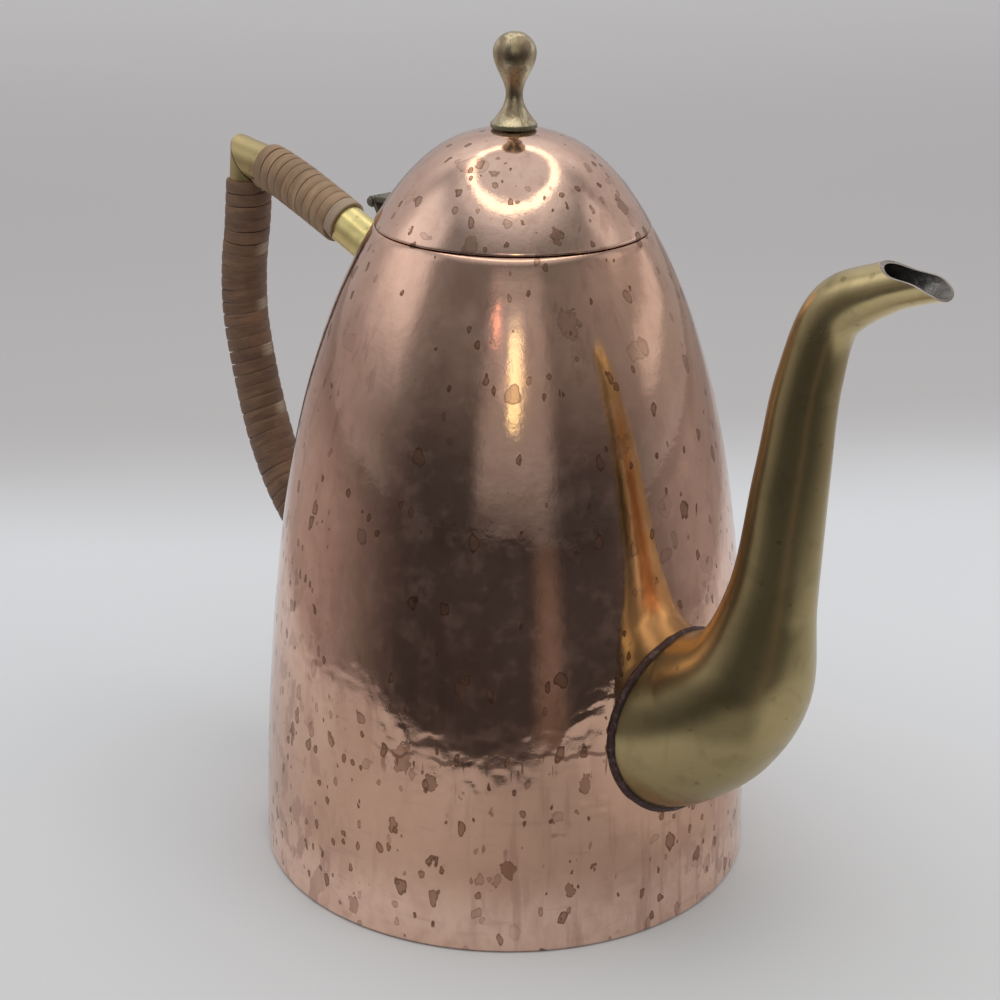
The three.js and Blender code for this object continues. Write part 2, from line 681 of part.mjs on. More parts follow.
function makeHandle() {
	const upper = limbPath(upperRootHeight, UPPER_LIMB);
	const lower = limbPath(LOWER_ROOT_HEIGHT, LOWER_LIMB);
	const corner = upper.getPointAt(1);
	const envelope = bodyEnvelope(SEAT_GAP);
	const limb = (path, steps, other) => limbSolid(path, steps, HANDLE_TUBE_RADIUS)
		.subtract(limbSolid(path, steps, HANDLE_TUBE_RADIUS - HANDLE_TUBE_WALL))
		.subtract(envelope)
		.subtract(mitreBlock(corner, path.getTangentAt(1), other.getTangentAt(1)));
	addBrass('handle_upper_tube', toGeometry(limb(upper, UPPER_STEPS, lower)));
	addBrass('handle_lower_tube', toGeometry(limb(lower, LOWER_STEPS, upper)));
	makeBead('handle_upper_solder', upper, HANDLE_BEAD_RADIUS, UPPER_STEPS, HANDLE_SIDES);
	makeBead('handle_lower_solder', lower, HANDLE_BEAD_RADIUS, LOWER_STEPS, HANDLE_SIDES);
	windStrip('wrap_upper', upper, UPPER_WRAP_START, UPPER_TURNS, UPPER_PITCH, UPPER_STRIP_WIDTH);
	windStrip('wrap_lower', lower, LOWER_WRAP_START, LOWER_TURNS, LOWER_PITCH, LOWER_STRIP_WIDTH);
}

makeBody();
makeMouthBand();
makeLid();
makeFinial();
makeHinge();
makeSpout();
makeHandle();

export default pot;
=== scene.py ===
"""Tall copper pot with a hinged dome lid, a brass spout and a brass handle wound with cane.

The pieces are built in millimetres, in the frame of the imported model, and written in metres.
"""

import math

import bpy
import numpy as np
from mathutils import Matrix, Vector


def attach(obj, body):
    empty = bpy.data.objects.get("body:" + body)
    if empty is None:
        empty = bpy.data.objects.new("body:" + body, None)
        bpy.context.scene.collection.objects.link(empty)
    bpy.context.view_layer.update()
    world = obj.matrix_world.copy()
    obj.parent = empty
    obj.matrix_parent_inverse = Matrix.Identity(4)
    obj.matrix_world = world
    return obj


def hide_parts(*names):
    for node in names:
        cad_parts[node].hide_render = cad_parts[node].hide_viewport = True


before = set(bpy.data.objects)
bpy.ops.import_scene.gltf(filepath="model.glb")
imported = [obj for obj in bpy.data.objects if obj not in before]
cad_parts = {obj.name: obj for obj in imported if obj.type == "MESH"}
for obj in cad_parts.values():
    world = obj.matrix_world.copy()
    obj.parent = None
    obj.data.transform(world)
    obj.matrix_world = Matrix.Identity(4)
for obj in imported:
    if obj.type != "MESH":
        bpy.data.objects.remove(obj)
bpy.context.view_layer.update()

MM = 0.001

# ---- sizes, in millimetres

SEAT_GAP = 0.3
LID_GAP = 0.4
BASE_RADIUS = 72.0
BASE_THICKNESS = 1.5
BASE_EDGE_RADIUS = 1.3
BODY_HEIGHT = 187.2
BODY_WALL = 1.0
LIP_RADIUS = 38.5
SIDE_POWER = 1.52
SHOULDER_POWER = 4.5
SHOULDER_SHARE = 0.57
BAND_THICKNESS = 1.2
BAND_HEIGHT = 6.0
BAND_LEDGE = 2.0
DOME_RISE = 26.2
DOME_WALL = 1.0
DOME_POWER = 2.5
COLLAR_WALL = 1.0
COLLAR_DROP = 4.5

KNOB_TOP = 25.8
KNOB_HEAD_LEVEL = 20.2
KNOB_HEAD_RADIUS = 5.9
KNOB_NECK_LEVEL = 9.0
KNOB_NECK_RADIUS = 2.3
KNOB_BASE_RADIUS = 6.4
KNOB_BASE_EDGE = 1.3
KNOB_FLARE_POWER = 1.8
KNOB_ROUND_OVER = 0.35
STUD_RADIUS = 2.0
STUD_LENGTH = 7.6
WASHER_RADIUS = 6.0
WASHER_THICKNESS = 0.8
WASHER_SOFT_EDGE = 0.15
NUT_RADIUS = 4.4
NUT_THICKNESS = 3.2
NUT_CHAMFER = 0.5

HINGE_X = -(LIP_RADIUS + 15.4)
HINGE_Z = BODY_HEIGHT - 2.0
HINGE_WIDTH = 9.0
KNUCKLE_RADIUS = 1.65
LID_KNUCKLE_WIDTH = 3.4
PIN_RADIUS = 0.75
PIN_HEAD_RADIUS = 1.25
PIN_HEAD_THICKNESS = 0.6
KNUCKLE_CLEARANCE = 0.5
LID_LEAF_THICKNESS = 1.7
BODY_LEAF_THICKNESS = 1.1

SPOUT_ROOT_HEIGHT = 61.6
SPOUT_WALL = 1.2
SPOUT_LIP_WALL = 0.55
SPOUT_WEB = 1.4
HANDLE_TUBE_RADIUS = 6.1
HANDLE_TUBE_WALL = 1.0
LOWER_ROOT_HEIGHT = 58.0
UPPER_ROOT_HEIGHT = BODY_HEIGHT - 20.7
SPOUT_BEAD_RADIUS = 1.9
HANDLE_BEAD_RADIUS = 1.4
STRAINER_HOLE_RADIUS = 1.75
STRAINER_SPACING = 7.0


# ---- outlines of the sheet metal

def body_radius(height):
    """Outer radius of the copper wall at a height."""
    u = np.maximum(height, 0) / BODY_HEIGHT
    fall = (1 - SHOULDER_SHARE) * u ** SIDE_POWER + SHOULDER_SHARE * u ** SHOULDER_POWER
    return BASE_RADIUS - (BASE_RADIUS - LIP_RADIUS) * fall


def body_slope(height):
    """How the wall's radius changes over a millimetre of height."""
    return body_radius(height + 0.5) - body_radius(height - 0.5)


def body_inner_radius(height):
    return body_radius(height) - BODY_WALL * np.hypot(1, body_slope(height))


RIM_BOTTOM = BODY_HEIGHT + SEAT_GAP
MOUTH_RADIUS = body_inner_radius(BODY_HEIGHT) - SEAT_GAP - BAND_LEDGE


def dome_height(radius, inset):
    """Height of the dome at a radius, on its outer face or on one set in from it."""
    share = (radius / (LIP_RADIUS - inset)) ** DOME_POWER
    return RIM_BOTTOM + (DOME_RISE - inset) * (1 - share)


KNOB_BOTTOM = dome_height(KNOB_BASE_RADIUS, 0) + SEAT_GAP
WASHER_TOP = dome_height(KNOB_BASE_RADIUS, DOME_WALL) - SEAT_GAP
NUT_TOP = WASHER_TOP - WASHER_THICKNESS - SEAT_GAP


# ---- smooth random fields

NOISE_CELLS = 32
MARKS_UP = 64
MARK_SHARPNESS = 32


def soft_noise(points, size, seed):
    """Smooth noise from -1 to 1 at points (n, 3), with bumps about as large as size (x, y, z)."""
    cells = np.random.default_rng(seed).uniform(-1, 1, (NOISE_CELLS,) * 3)
    place = points / np.asarray(size, float) + 100.0
    low = np.floor(place).astype(int)
    part = place - low
    part = part * part * (3 - 2 * part)
    total = 0
    for step in np.ndindex(2, 2, 2):
        share = np.prod(np.abs(1 - np.array(step) - part), axis=1)
        total = total + share * cells[tuple(((low + step) % NOISE_CELLS).T)]
    return total


def waves(points, kinds):
    """Unevenness in millimetres. Each kind is a height, a size on each axis and a seed."""
    return sum(height * soft_noise(points, size, seed) for height, size, seed in kinds)


def hammer_marks(across, up, width, height, count, seed):
    """Height of overlapping flat hammer marks, each with its own small tilt, for a tilt of one.

    The field closes after count marks round.
    """
    draw = np.random.default_rng(seed)
    middle = draw.uniform(0.1, 0.9, (count, MARKS_UP, 2))
    tilt = draw.normal(0, 1, (count, MARKS_UP, 2))
    u, v = across / width, up / height
    cell_u, cell_v = np.floor(u).astype(int), np.floor(v).astype(int)
    total, weights = 0, 0
    for du, dv in np.ndindex(3, 3):
        near_u, near_v = cell_u + du - 1, cell_v + dv - 1
        key = (near_u % count, near_v % MARKS_UP)
        away_u = u - (near_u + middle[key][..., 0])
        away_v = v - (near_v + middle[key][..., 1])
        weight = np.exp(-MARK_SHARPNESS * (away_u ** 2 + away_v ** 2))
        total = total + weight * (tilt[key][..., 0] * away_u * width + tilt[key][..., 1] * away_v * height)
        weights = weights + weight
    return total / weights


# ---- meshes from rows of points

SHARP_ANGLE = 40


def round_angles(sides):
    """Angles of the sides of a ring."""
    return np.linspace(0, 2 * math.pi, sides, endpoint=False)


def points_of(*parts):
    """Points from arrays of their coordinates."""
    return np.stack(np.broadcast_arrays(*parts), axis=-1)


def link(name, data):
    """An object in the scene, for a mesh, a lamp or a camera."""
    item = bpy.data.objects.new(name, data)
    bpy.context.scene.collection.objects.link(item)
    return item


def loose_mesh(name, points, faces):
    """A mesh object that rides no body, from points in millimetres."""
    mesh = bpy.data.meshes.new(name)
    mesh.from_pydata((np.asarray(points, float) * MM).tolist(), [], faces)
    return link(name, mesh)


def smooth_over(mesh, sharp_angle):
    """Smooth shading, apart from edges sharper than an angle in degrees."""
    mesh.polygons.foreach_set("use_smooth", [True] * len(mesh.polygons))
    mesh.set_sharp_from_angle(angle=math.radians(sharp_angle))


def skin_faces(rows, sides, closed=False):
    """Faces over rows of points, with caps unless the last row joins the first."""
    faces = []
    for i in range(rows if closed else rows - 1):
        here, after = i * sides, ((i + 1) % rows) * sides
        for j in range(sides):
            k = (j + 1) % sides
            faces.append((here + j, here + k, after + k, after + j))
    if not closed:
        last = (rows - 1) * sides
        faces += [tuple(range(sides - 1, -1, -1)), tuple(range(last, last + sides))]
    return faces


def make_object(name, rows, body, sharp_angle=SHARP_ANGLE, closed=False, slots=None, uv=None):
    """A piece over rows of points (rows, sides, 3). slots gives each face's material number."""
    piece = loose_mesh(name, rows.reshape(-1, 3), skin_faces(*rows.shape[:2], closed=closed))
    mesh = piece.data
    mesh.update()
    if slots is not None:
        mesh.polygons.foreach_set("material_index", np.asarray(slots, dtype=np.int32))
    if uv is not None:
        layer = mesh.uv_layers.new(name="strip")
        corners = np.empty(len(mesh.loops), dtype=np.int32)
        mesh.loops.foreach_get("vertex_index", corners)
        layer.data.foreach_set("uv", np.asarray(uv, float)[corners].ravel())
    smooth_over(mesh, sharp_angle)
    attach(piece, body)
    return piece


def turn(name, outline, segments, body, closed=True, sharp_angle=SHARP_ANGLE, shape=None, slot_of=None):
    """A piece turned about the Z axis. Its outline of [radius, height] runs up outside and down inside."""
    outline = np.asarray(outline, float)
    angle = round_angles(segments)
    radius, level = outline[:, :1], outline[:, 1:]
    rows = points_of(radius * np.cos(angle), radius * np.sin(angle), level)
    if shape is not None:
        rows = shape(rows)
    slots = slot_of and [slot_of(i) for i in range(len(rows)) for _ in range(segments)]
    return make_object(name, rows, body, sharp_angle, closed, slots)


# ---- paths in the upright plane

def plane_path(points, samples=1600):
    """The same centripetal curve as the solids use, through points of [x, z, radius].

    It holds samples of x, z, radius, tangent x, tangent z and the share of the length.
    """
    p = np.asarray([[x, radius, z] for x, z, radius in points], float)
    p = np.vstack([2 * p[0] - p[1], p, 2 * p[-1] - p[-2]])
    found = []
    spans = len(p) - 3
    per_span = max(samples // spans, 8)
    for i in range(spans):
        a, b, c, d = p[i:i + 4]
        t0, t1, t2 = (np.sum((q - r) ** 2) ** 0.25 for q, r in ((a, b), (b, c), (c, d)))
        start = ((b - a) / t0 - (c - a) / (t0 + t1) + (c - b) / t1) * t1
        stop = ((c - b) / t1 - (d - b) / (t1 + t2) + (d - c) / t2) * t1
        t = np.linspace(0, 1, per_span, endpoint=i == spans - 1)[:, None]
        found.append(b + start * t + (-3 * b + 3 * c - 2 * start - stop) * t ** 2
                     + (2 * b - 2 * c + start + stop) * t ** 3)
    curve = np.vstack(found)
    length = np.concatenate([[0], np.cumsum(np.linalg.norm(np.diff(curve, axis=0), axis=1))])
    slope = np.gradient(curve[:, [0, 2]], length, axis=0)
    slope /= np.linalg.norm(slope, axis=1)[:, None]
    return {"x": curve[:, 0], "z": curve[:, 2], "radius": curve[:, 1], "tx": slope[:, 0],
            "tz": slope[:, 1], "share": length / length[-1], "length": length[-1]}


def on_path(path, share):
    """x, z, tangent x, tangent z and radius at shares of a path's length."""
    return [np.interp(share, path["share"], path[key]) for key in ("x", "z", "tx", "tz", "radius")]


def tube_points(path, share, angle, grow=0.0):
    """Points on a tube round a path, for arrays of length share and angle round it."""
    x, z, tx, tz, radius = on_path(path, share)
    radius = radius + (grow(share) if callable(grow) else grow)
    return points_of(x + tz * radius * np.cos(angle), radius * np.sin(angle), z - tx * radius * np.cos(angle))


def crossing(path, angle, grow, inside, low, high, halvings=40):
    """The length share where each line along a tube stops being inside something."""
    low = np.full(angle.shape, low, float)
    high = np.full(angle.shape, high, float)
    for _ in range(halvings):
        middle = (low + high) / 2
        within = inside(tube_points(path, middle, angle, grow))
        low = np.where(within, middle, low)
        high = np.where(within, high, middle)
    return low


def in_wall(gap):
    """Tells which points lie inside the copper wall's outer face and a gap round it."""
    return lambda p: np.hypot(p[..., 0], p[..., 1]) < body_radius(p[..., 2]) + gap


THINNING = (0, 0.8, 0.96)


def hollow_tube(name, path, wall, before_end, rows, sides, shape=None, slots=(0, 1, 2)):
    """A tube of the pot from its wall to where before_end stops holding.

    wall is the tube's thickness at the start and at the end, and changes over the length shares of THINNING.
    The materials in slots are for the outside, the end rims and the bore.
    """
    angle = round_angles(sides)
    layers, kinds = [], []
    bore = lambda share: -np.interp(share, THINNING, (wall[0], wall[0], wall[1]))
    for grow, kind, order in ((0.0, slots[0], 1), (bore, slots[2], -1)):
        first = crossing(path, angle, grow, in_wall(SEAT_GAP), 0, 0.5)
        last = crossing(path, angle, grow, before_end, 0.6, 1)
        share = first + (last - first) * np.linspace(0, 1, rows)[::order, None]
        points = tube_points(path, share, np.broadcast_to(angle, share.shape), grow)
        if shape is not None and grow is not bore:
            points = shape(points, angle, share)
        layers.append(points)
        kinds += [kind] * (rows - 1) + [slots[1]]
    face_slots = [kind for kind in kinds for _ in range(sides)]
    return make_object(name, np.concatenate(layers), "pot", sharp_angle=50, closed=True, slots=face_slots)


# ---- shader building

def open_tree(new_tree):
    """Sets the node tree that the functions below build in."""
    global tree
    tree = new_tree


def feed(socket, value):
    """Links another socket into a socket, or sets a value. A colour is given as red, green and blue."""
    if isinstance(value, bpy.types.NodeSocket):
        tree.links.new(value, socket)
    else:
        socket.default_value = (*value, 1) if socket.type == "RGBA" else value


def add(kind, inputs=(), **settings):
    """A shader node."""
    item = tree.nodes.new(kind)
    for key, value in settings.items():
        setattr(item, key, value)
    for key, value in dict(inputs).items():
        feed(item.inputs[key], value)
    return item


def maths(operation, *values):
    return add("ShaderNodeMath", dict(enumerate(values)), operation=operation).outputs[0]


def chain(operation, values):
    """Takes values together two at a time, from the first on."""
    result = values[0]
    for value in values[1:]:
        result = maths(operation, result, value)
    return result


def times(*values):
    return chain("MULTIPLY", values)


def plus(*values):
    return chain("ADD", values)


def most(*values):
    return chain("MAXIMUM", values)


def minus(first, second):
    return maths("SUBTRACT", first, second)


def apart(first, second):
    return maths("ABSOLUTE", minus(first, second))


def vectors(operation, *values, output="Vector"):
    return add("ShaderNodeVectorMath", dict(enumerate(values)), operation=operation).outputs[output]


def stretch(vector, *scale):
    """Coordinates times a size on each axis. A small one draws a pattern out along its axis."""
    return vectors("MULTIPLY", vector, scale)


def along_way(vector, way):
    return vectors("DOT_PRODUCT", vector, way, output="Value")


def on_axis(vector, axis):
    return add("ShaderNodeSeparateXYZ", {"Vector": vector}).outputs[axis]


def ramp(value, low, high, at_low=0, at_high=1):
    """A smooth step of a value from low to high."""
    return add("ShaderNodeMapRange", {"Value": value, "From Min": low, "From Max": high, "To Min": at_low,
                                      "To Max": at_high}, interpolation_type="SMOOTHSTEP").outputs[0]


def between(share, at_none, at_full):
    return ramp(share, 0, 1, at_none, at_full)


def blend(share, first, second, mode="MIX"):
    item = add("ShaderNodeMix", {0: share, 6: first, 7: second}, data_type="RGBA", blend_type=mode)
    return item.outputs[2]


def dyed(tint, *layers):
    """A tint under layers of (share, colour), the lowest first."""
    for share, dye in layers:
        tint = blend(share, tint, dye)
    return tint


def noise(vector, scale, detail=3, roughness=0.55, distortion=0, output="Fac"):
    return add("ShaderNodeTexNoise", {"Vector": vector, "Scale": scale, "Detail": detail,
                                      "Roughness": roughness, "Distortion": distortion}).outputs[output]


def new_group(name, settings, results):
    """Starts a shader node group that takes a place and named settings and gives named values."""
    group = bpy.data.node_groups.new(name, "ShaderNodeTree")
    group.interface.new_socket("Vector", in_out="INPUT", socket_type="NodeSocketVector")
    for label, value in settings.items():
        kind = "NodeSocketVector" if isinstance(value, tuple) else "NodeSocketFloat"
        group.interface.new_socket(label, in_out="INPUT", socket_type=kind).default_value = value
    for label in results:
        group.interface.new_socket(label, in_out="OUTPUT", socket_type="NodeSocketFloat")
    open_tree(group)
    return group, group.nodes.new("NodeGroupInput").outputs, group.nodes.new("NodeGroupOutput").inputs


def give(out, **values):
    for label, value in values.items():
        feed(out[label], value)


def use(group, inputs):
    """Places a group in a material and returns its outputs by name."""
    return add("ShaderNodeGroup", inputs, node_tree=group).outputs


def oxide_spots_group():
    """Brown spots that drops leave: one at most in each cell, with a darker outline."""
    group, given, out = new_group("oxide spots", {
        "Spots per Metre": 150, "Fullness": 0.5, "Largest": 0.25, "Raggedness": 0.3, "Outline": 0.05},
        ("Spot", "Rim"))
    place, per_metre = given["Vector"], given["Spots per Metre"]
    wavy = noise(place, times(per_metre, 1.6), 2, output="Color")
    push = maths("DIVIDE", given["Raggedness"], per_metre)
    centred = vectors("SUBTRACT", wavy, (0.5, 0.5, 0.5))
    shift = add("ShaderNodeVectorMath", {0: centred, "Scale": push}, operation="SCALE").outputs["Vector"]
    cells = add("ShaderNodeTexVoronoi", {"Vector": vectors("ADD", place, shift), "Scale": per_metre,
                                         "Randomness": 1}).outputs
    draw = add("ShaderNodeSeparateColor", {"Color": cells["Color"]}).outputs
    chance = maths("LESS_THAN", draw["Red"], given["Fullness"])
    radius = times(given["Largest"], between(draw["Green"], 0.4, 1))
    strength = times(chance, ramp(draw["Blue"], 0, 0.7, 0.35, 1))
    inside = minus(radius, cells["Distance"])
    rim = ramp(apart(inside, given["Outline"]), given["Outline"], 0)
    give(out, Spot=times(ramp(inside, -0.01, 0.03), strength), Rim=times(rim, strength))
    return group


def clouds_group():
    """Soft uneven tarnish, from 0 to 1."""
    group, given, out = new_group("cloudy tarnish", {"Clouds per Metre": 25, "Low": 0.4, "High": 0.65},
                                  ("Cloud", "Fine"))
    broad = noise(given["Vector"], given["Clouds per Metre"], 5, 0.6, 0.6)
    fine = noise(given["Vector"], times(given["Clouds per Metre"], 9), 4, 0.65)
    give(out, Cloud=ramp(broad, given["Low"], given["High"]), Fine=ramp(fine, 0.38, 0.68))
    return group


def wipes_group():
    """Thin wipe marks: stretched noise, cut to its peaks."""
    group, given, out = new_group("wipe marks", {"Along": (60, 60, 900), "Amount": 0.5}, ("Mark",))
    streak = noise(vectors("MULTIPLY", given["Vector"], given["Along"]), 1, 2, 0.5, 0.4)
    give(out, Mark=ramp(streak, minus(0.74, times(given["Amount"], 0.2)), 0.86))
    return group


def stain_group():
    """One stain at a stated place, drawn out downwards, with a darker outline."""
    group, given, out = new_group("single stain", {"Centre": (0, 0, 0), "Radius": 0.003, "Wander": 0},
                                  ("Spot", "Rim"))
    away = stretch(vectors("SUBTRACT", given["Vector"], given["Centre"]), 1, 1, 0.62)
    distance = vectors("LENGTH", away, output="Value")
    share = plus(maths("DIVIDE", distance, given["Radius"]), given["Wander"])
    give(out, Spot=ramp(share, 1.04, 0.94), Rim=ramp(apart(share, 0.94), 0.1, 0))
    return group


def grain_group():
    """Fibres along a strip, in the strip's own measure, with colour and height."""
    group, given, out = new_group("cane grain", {"Fibres": 420}, ("Fibre", "Patch", "Height"))
    drawn = add("ShaderNodeCombineXYZ", {"X": 7, "Y": given["Fibres"], "Z": 1}).outputs[0]
    fibre = noise(vectors("MULTIPLY", given["Vector"], drawn), 1, 3, 0.6)
    patch = noise(stretch(given["Vector"], 9, 40, 1), 1, 4, 0.6, 0.3)
    give(out, Fibre=ramp(fibre, 0.3, 0.7), Patch=ramp(patch, 0.34, 0.66), Height=fibre)
    return group


OXIDE = oxide_spots_group()
CLOUDS = clouds_group()
WIPES = wipes_group()
STAIN = stain_group()
GRAIN = grain_group()


# The groups as the materials place them

def spots(place, per_metre, fullness, largest, raggedness, outline):
    return use(OXIDE, {"Vector": place, "Spots per Metre": per_metre, "Fullness": fullness,
                       "Largest": largest, "Raggedness": raggedness, "Outline": outline})


def clouds(place, per_metre, low, high):
    return use(CLOUDS, {"Vector": place, "Clouds per Metre": per_metre, "Low": low, "High": high})


def wipes(place, along, amount):
    return use(WIPES, {"Vector": place, "Along": along, "Amount": amount})["Mark"]


def new_material(name):
    """Starts a material and returns it, its shader and the piece's own coordinates."""
    material = bpy.data.materials.new(name)
    material.use_nodes = True
    open_tree(material.node_tree)
    return material, tree.nodes["Principled BSDF"], add("ShaderNodeTexCoord").outputs["Object"]


def connect(shader, base, rough, metal=0, bumps=None):
    """Feeds the shader. bumps is a height, the strength and the distance in metres that it works over."""
    feed(shader.inputs["Base Color"], base)
    feed(shader.inputs["Roughness"], rough)
    feed(shader.inputs["Metallic"], metal)
    if bumps is not None:
        height, strength, distance = bumps
        bump = add("ShaderNodeBump", {"Height": height, "Strength": strength, "Distance": distance})
        feed(shader.inputs["Normal"], bump.outputs[0])


# ---- materials, with places in metres

# Stains at stated places on the copper: centre, radius and darkness
COPPER_STAINS = (
    ((0.0253, -0.0649, 0.0555), 0.0026, 0.65),
    ((0.0330, -0.0617, 0.0495), 0.0018, 0.85),
    ((0.0623, -0.0318, 0.0499), 0.0017, 0.8),
    ((0.0511, -0.0497, 0.0262), 0.0018, 1),
    ((0.0617, -0.0363, 0.0187), 0.0014, 0.9),
    ((0.0116, -0.0709, 0.0066), 0.0018, 0.6),
    ((0.0415, -0.0209, 0.1714), 0.0027, 0.5),
    ((0.0556, -0.0143, 0.1404), 0.0020, 0.4),
    ((0.0321, -0.0158, 0.1918), 0.0017, 0.95),
    ((0.0173, -0.0328, 0.1898), 0.0017, 0.7),
    ((0.0314, 0.0097, 0.1960), 0.0021, 0.85),
    ((0.0235, 0.0046, 0.2057), 0.0014, 0.55),
)
STAIN_SPOT, STAIN_RIM = 0.75, 0.8


def copper_marks(place, upright, crowd):
    """Masks of all spots and of their outlines. crowd says where they stand closer together.

    Each kind of spot goes with the darkness of its inside and of its outline.
    """
    marks = [
        (spots(place, 52, 0.8, 0.2, 0.7, 0.016), 0.22, 0.3),
        (spots(upright, 165, between(crowd, 0.5, 0.95), 0.29, 0.6, 0.04), 0.72, 0.7),
        (spots(upright, 330, between(crowd, 0.2, 0.5), 0.32, 0.5, 0.06), 0.8, 0.6)]
    wander = times(minus(noise(place, 480, 4), 0.5), 2.4)
    for centre, radius, darkness in COPPER_STAINS:
        stain = use(STAIN, {"Vector": place, "Centre": centre, "Radius": radius, "Wander": wander})
        marks.append((stain, STAIN_SPOT * darkness, STAIN_RIM * darkness))
    return (most(*(times(mark["Spot"], dark) for mark, dark, _ in marks)),
            most(*(times(mark["Rim"], dark) for mark, _, dark in marks)))


def tarnish_line(place, level):
    """The ragged, broken line where a bath of tarnish stopped, with drips below it."""
    ragged = noise(stretch(place, 1, 1, 0.4), 75, 4, 0.5)
    line = minus(plus(level, times(ragged, 0.017)), 0.0665)
    facing = along_way(place, (0.68, -0.73, 0))
    breaks = times(ramp(noise(place, 50, 2), 0.41, 0.48), ramp(facing, 0.059, 0.064))
    drips = times(ramp(noise(stretch(place, 1, 1, 0.1), 800, 1), 0.63, 0.67),
                  ramp(line, -0.009, -0.004), ramp(line, 0.0005, -0.0005))
    return times(most(ramp(maths("ABSOLUTE", line), 0.0009, 0.0003), drips), breaks)


def copper_material():
    """Old planished copper: rosy metal, brown clouds, spots with dark outlines, a tarnish line. It also holds
    painted light: a paler dome, a paler band by the base and dark streaks of painted wrinkle shade low down.
    """
    material, shader, place = new_material("worn copper")
    upright = stretch(place, 1, 1, 0.6)
    level = on_axis(place, "Z")
    low_zone = ramp(level, 0.09, 0.04)
    on_dome = ramp(level, 0.186, 0.188)
    flank = times(ramp(maths("ABSOLUTE", along_way(place, (0.708, 0.706, 0))), 0.036, 0.06),
                  ramp(level, 0.19, 0.17))
    broad = clouds(upright, 24, 0.4, 0.66)
    patches = clouds(upright, 90, 0.5, 0.72)
    rubbed = wipes(place, (700, 700, 45), 0.6)
    wrinkle_shade = wipes(place, (70, 70, 420), 0.9)
    tan = most(ramp(noise(place, 14, 3), 0.42, 0.62), low_zone)
    runs = times(ramp(noise(stretch(place, 1, 1, 0.1), 280, 3), 0.52, 0.68),
                 ramp(noise(upright, 22, 2), 0.5, 0.62))
    blotch = times(ramp(noise(stretch(place, 1, 1, 0.5), 200, 3), 0.53, 0.58), flank,
                   ramp(level, 0.12, 0.06, 0.35, 1))
    spot, rim = copper_marks(place, upright, most(low_zone, times(on_dome, 0.7), flank))
    rim = most(rim, times(tarnish_line(place, level), 0.6))
    tint = dyed(
        blend(broad["Cloud"], (0.80, 0.52, 0.40), (0.66, 0.40, 0.305)),
        (times(tan, 0.55), (0.575, 0.36, 0.24)),
        # Painted light: the dome's copper is paler and pinker, standing in for the brighter light it catches
        # from above.
        (times(on_dome, 0.5), (0.86, 0.595, 0.475)),
        # Painted reflection: the copper is paler over the lowest 26 mm, standing in for the bright paper
        # mirrored close to the pot.
        (ramp(level, 0.026, 0.006, 0, 0.9), (1, 0.69, 0.55)),
        (times(broad["Fine"], 0.25), (0.56, 0.335, 0.25)),
        (times(patches["Cloud"], between(flank, 0.3, 0.4)), (0.48, 0.27, 0.205)),
        # Painted shade: thin dark horizontal streaks low on the wall, standing in for the shading of fine
        # wrinkles.
        (times(wrinkle_shade, low_zone, 0.35), (0.40, 0.23, 0.17)),
        (times(runs, between(flank, 0.4, 0.5)), (0.42, 0.235, 0.175)),
        (times(blotch, 0.6), (0.46, 0.27, 0.20)),
        (spot, (0.235, 0.105, 0.055)),
        (rim, (0.12, 0.052, 0.03)))
    marked = most(spot, rim)
    film = ramp(noise(place, 150, 4, 0.65), 0.46, 0.68)
    ripple = noise(stretch(place, 1, 1, 1.6), 190, 3, 0.5)
    height = plus(times(ripple, between(low_zone, 0.3, 0.2)), times(plus(marked, broad["Fine"]), 0.1))
    rough = plus(between(broad["Cloud"], 0.075, 0.13), times(marked, 0.14), times(rubbed, 0.1))
    dulled = plus(times(marked, 0.12), times(film, 0.05))
    connect(shader, tint, rough, metal=minus(1, dulled), bumps=(height, 0.28, 0.00035))
    return material


def tin_material():
    """The tinned inside: grey, stained and wiped."""
    material, shader, place = new_material("tinned inside")
    film = clouds(place, 60, 0.35, 0.62)
    tint = dyed(
        blend(times(film["Cloud"], 0.75), (0.34, 0.325, 0.31), (0.13, 0.11, 0.095)),
        (times(wipes(place, (300, 300, 60), 0.9), 0.5), (0.5, 0.48, 0.45)))
    connect(shader, tint, between(film["Fine"], 0.3, 0.55), metal=0.9, bumps=(film["Fine"], 0.25, 0.0003))
    return material


